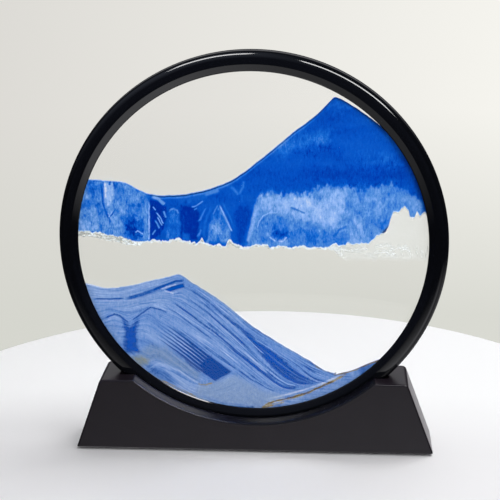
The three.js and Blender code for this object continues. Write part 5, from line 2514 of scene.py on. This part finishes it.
@dataclass
class HiddenPieces:
    """Finishes of the CAD nodes that keep their shape."""

    nodes: dict[str, bpy.types.Object]
    clear: Colour = (1.0, 1.0, 1.0, 1.0)
    glass_ior: float = 1.25
    glass_specular: float = 0.12
    glass_smudge: float = 0.02
    liquid_ior: float = 1.0
    liquid_specular: float = 0.5
    silicone: tuple[Colour, Colour] = (srgb(200, 203, 203), srgb(222, 225, 225))
    silicone_roughness: float = 0.6
    spacer: tuple[Colour, Colour] = (srgb(220, 221, 218), srgb(236, 237, 234))
    spacer_roughness: float = 0.4
    rubber: tuple[Colour, Colour] = (srgb(20, 20, 21), srgb(36, 36, 37))
    rubber_roughness: float = 0.85

    def dress(self, satin: bpy.types.Material) -> None:
        """Dresses the glass, the liquid, the seals, the base plate and the feet.

        Args:
            satin: Finish of the base plate.
        """
        glass = ClearFill(
            "wheel_glass",
            self.clear,
            ior=self.glass_ior,
            specular=self.glass_specular,
            smudge=self.glass_smudge,
        ).material()
        liquid = ClearFill(
            "cell_liquid", self.clear, ior=self.liquid_ior, specular=self.liquid_specular
        ).material()
        silicone, spacer, rubber = (
            SoftPlastic(name, *tones, roughness).material()
            for name, tones, roughness in (
                ("pale_silicone", self.silicone, self.silicone_roughness),
                ("spacer_plastic", self.spacer, self.spacer_roughness),
                ("foot_rubber", self.rubber, self.rubber_roughness),
            )
        )
        finishes = {
            glass: ("front_glass", "rear_glass"),
            liquid: ("upper_liquid", "lower_liquid"),
            silicone: ("front_gasket", "rear_gasket", "fill_plug"),
            spacer: ("spacer_ring",),
            satin: ("stand_base_plate",),
            rubber: ("front_left_foot", "front_right_foot", "rear_left_foot", "rear_right_foot"),
        }
        for material, names in finishes.items():
            for name in names:
                node = self.nodes[name]
                Bench.dress(node, material)
                if material in (glass, liquid):
                    node.visible_shadow = False
                LOG.info("dressed %s", name)


def main() -> None:
    """Builds the scene, piece by piece."""
    logging.basicConfig(level=logging.INFO, format="%(message)s")
    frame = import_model()
    PhotoCamera().place()
    studio = Studio()
    studio.build()
    effects = Effects()
    gloss = MouldedPlastic(
        effects,
        "gloss_black_rim",
        colour=srgb(8, 10, 15),
        dusty=srgb(56, 56, 62),
        roughness=0.06,
        marked_roughness=0.1,
        specular=0.55,
        grain_scale=2500.0,
        grain=0.1,
        waviness=0.5,
        bump=0.08,
        dust=0.06,
    ).material()
    satin = MouldedPlastic(
        effects,
        "satin_black_stand",
        colour=srgb(29, 22, 30),
        dusty=srgb(90, 86, 92),
        roughness=0.3,
        marked_roughness=0.36,
        specular=0.46,
        grain_scale=3500.0,
        grain=1.0,
        waviness=0.4,
        bump=0.35,
        dust=0.25,
        # Painted sheen on faces seen at a slant, and painted shade in the hollow under the wheel.
        painted_sheen=0.8,
        hollow_radius=Stand.lip_radius,
    ).material()
    for ring in WheelRim().build(gloss):
        studio.wheel_only.objects.link(ring)
    Stand().build(satin)
    SandPicture().build(effects)
    HiddenPieces(frame["nodes"]).dress(satin)


if __name__ == "__main__":
    main()
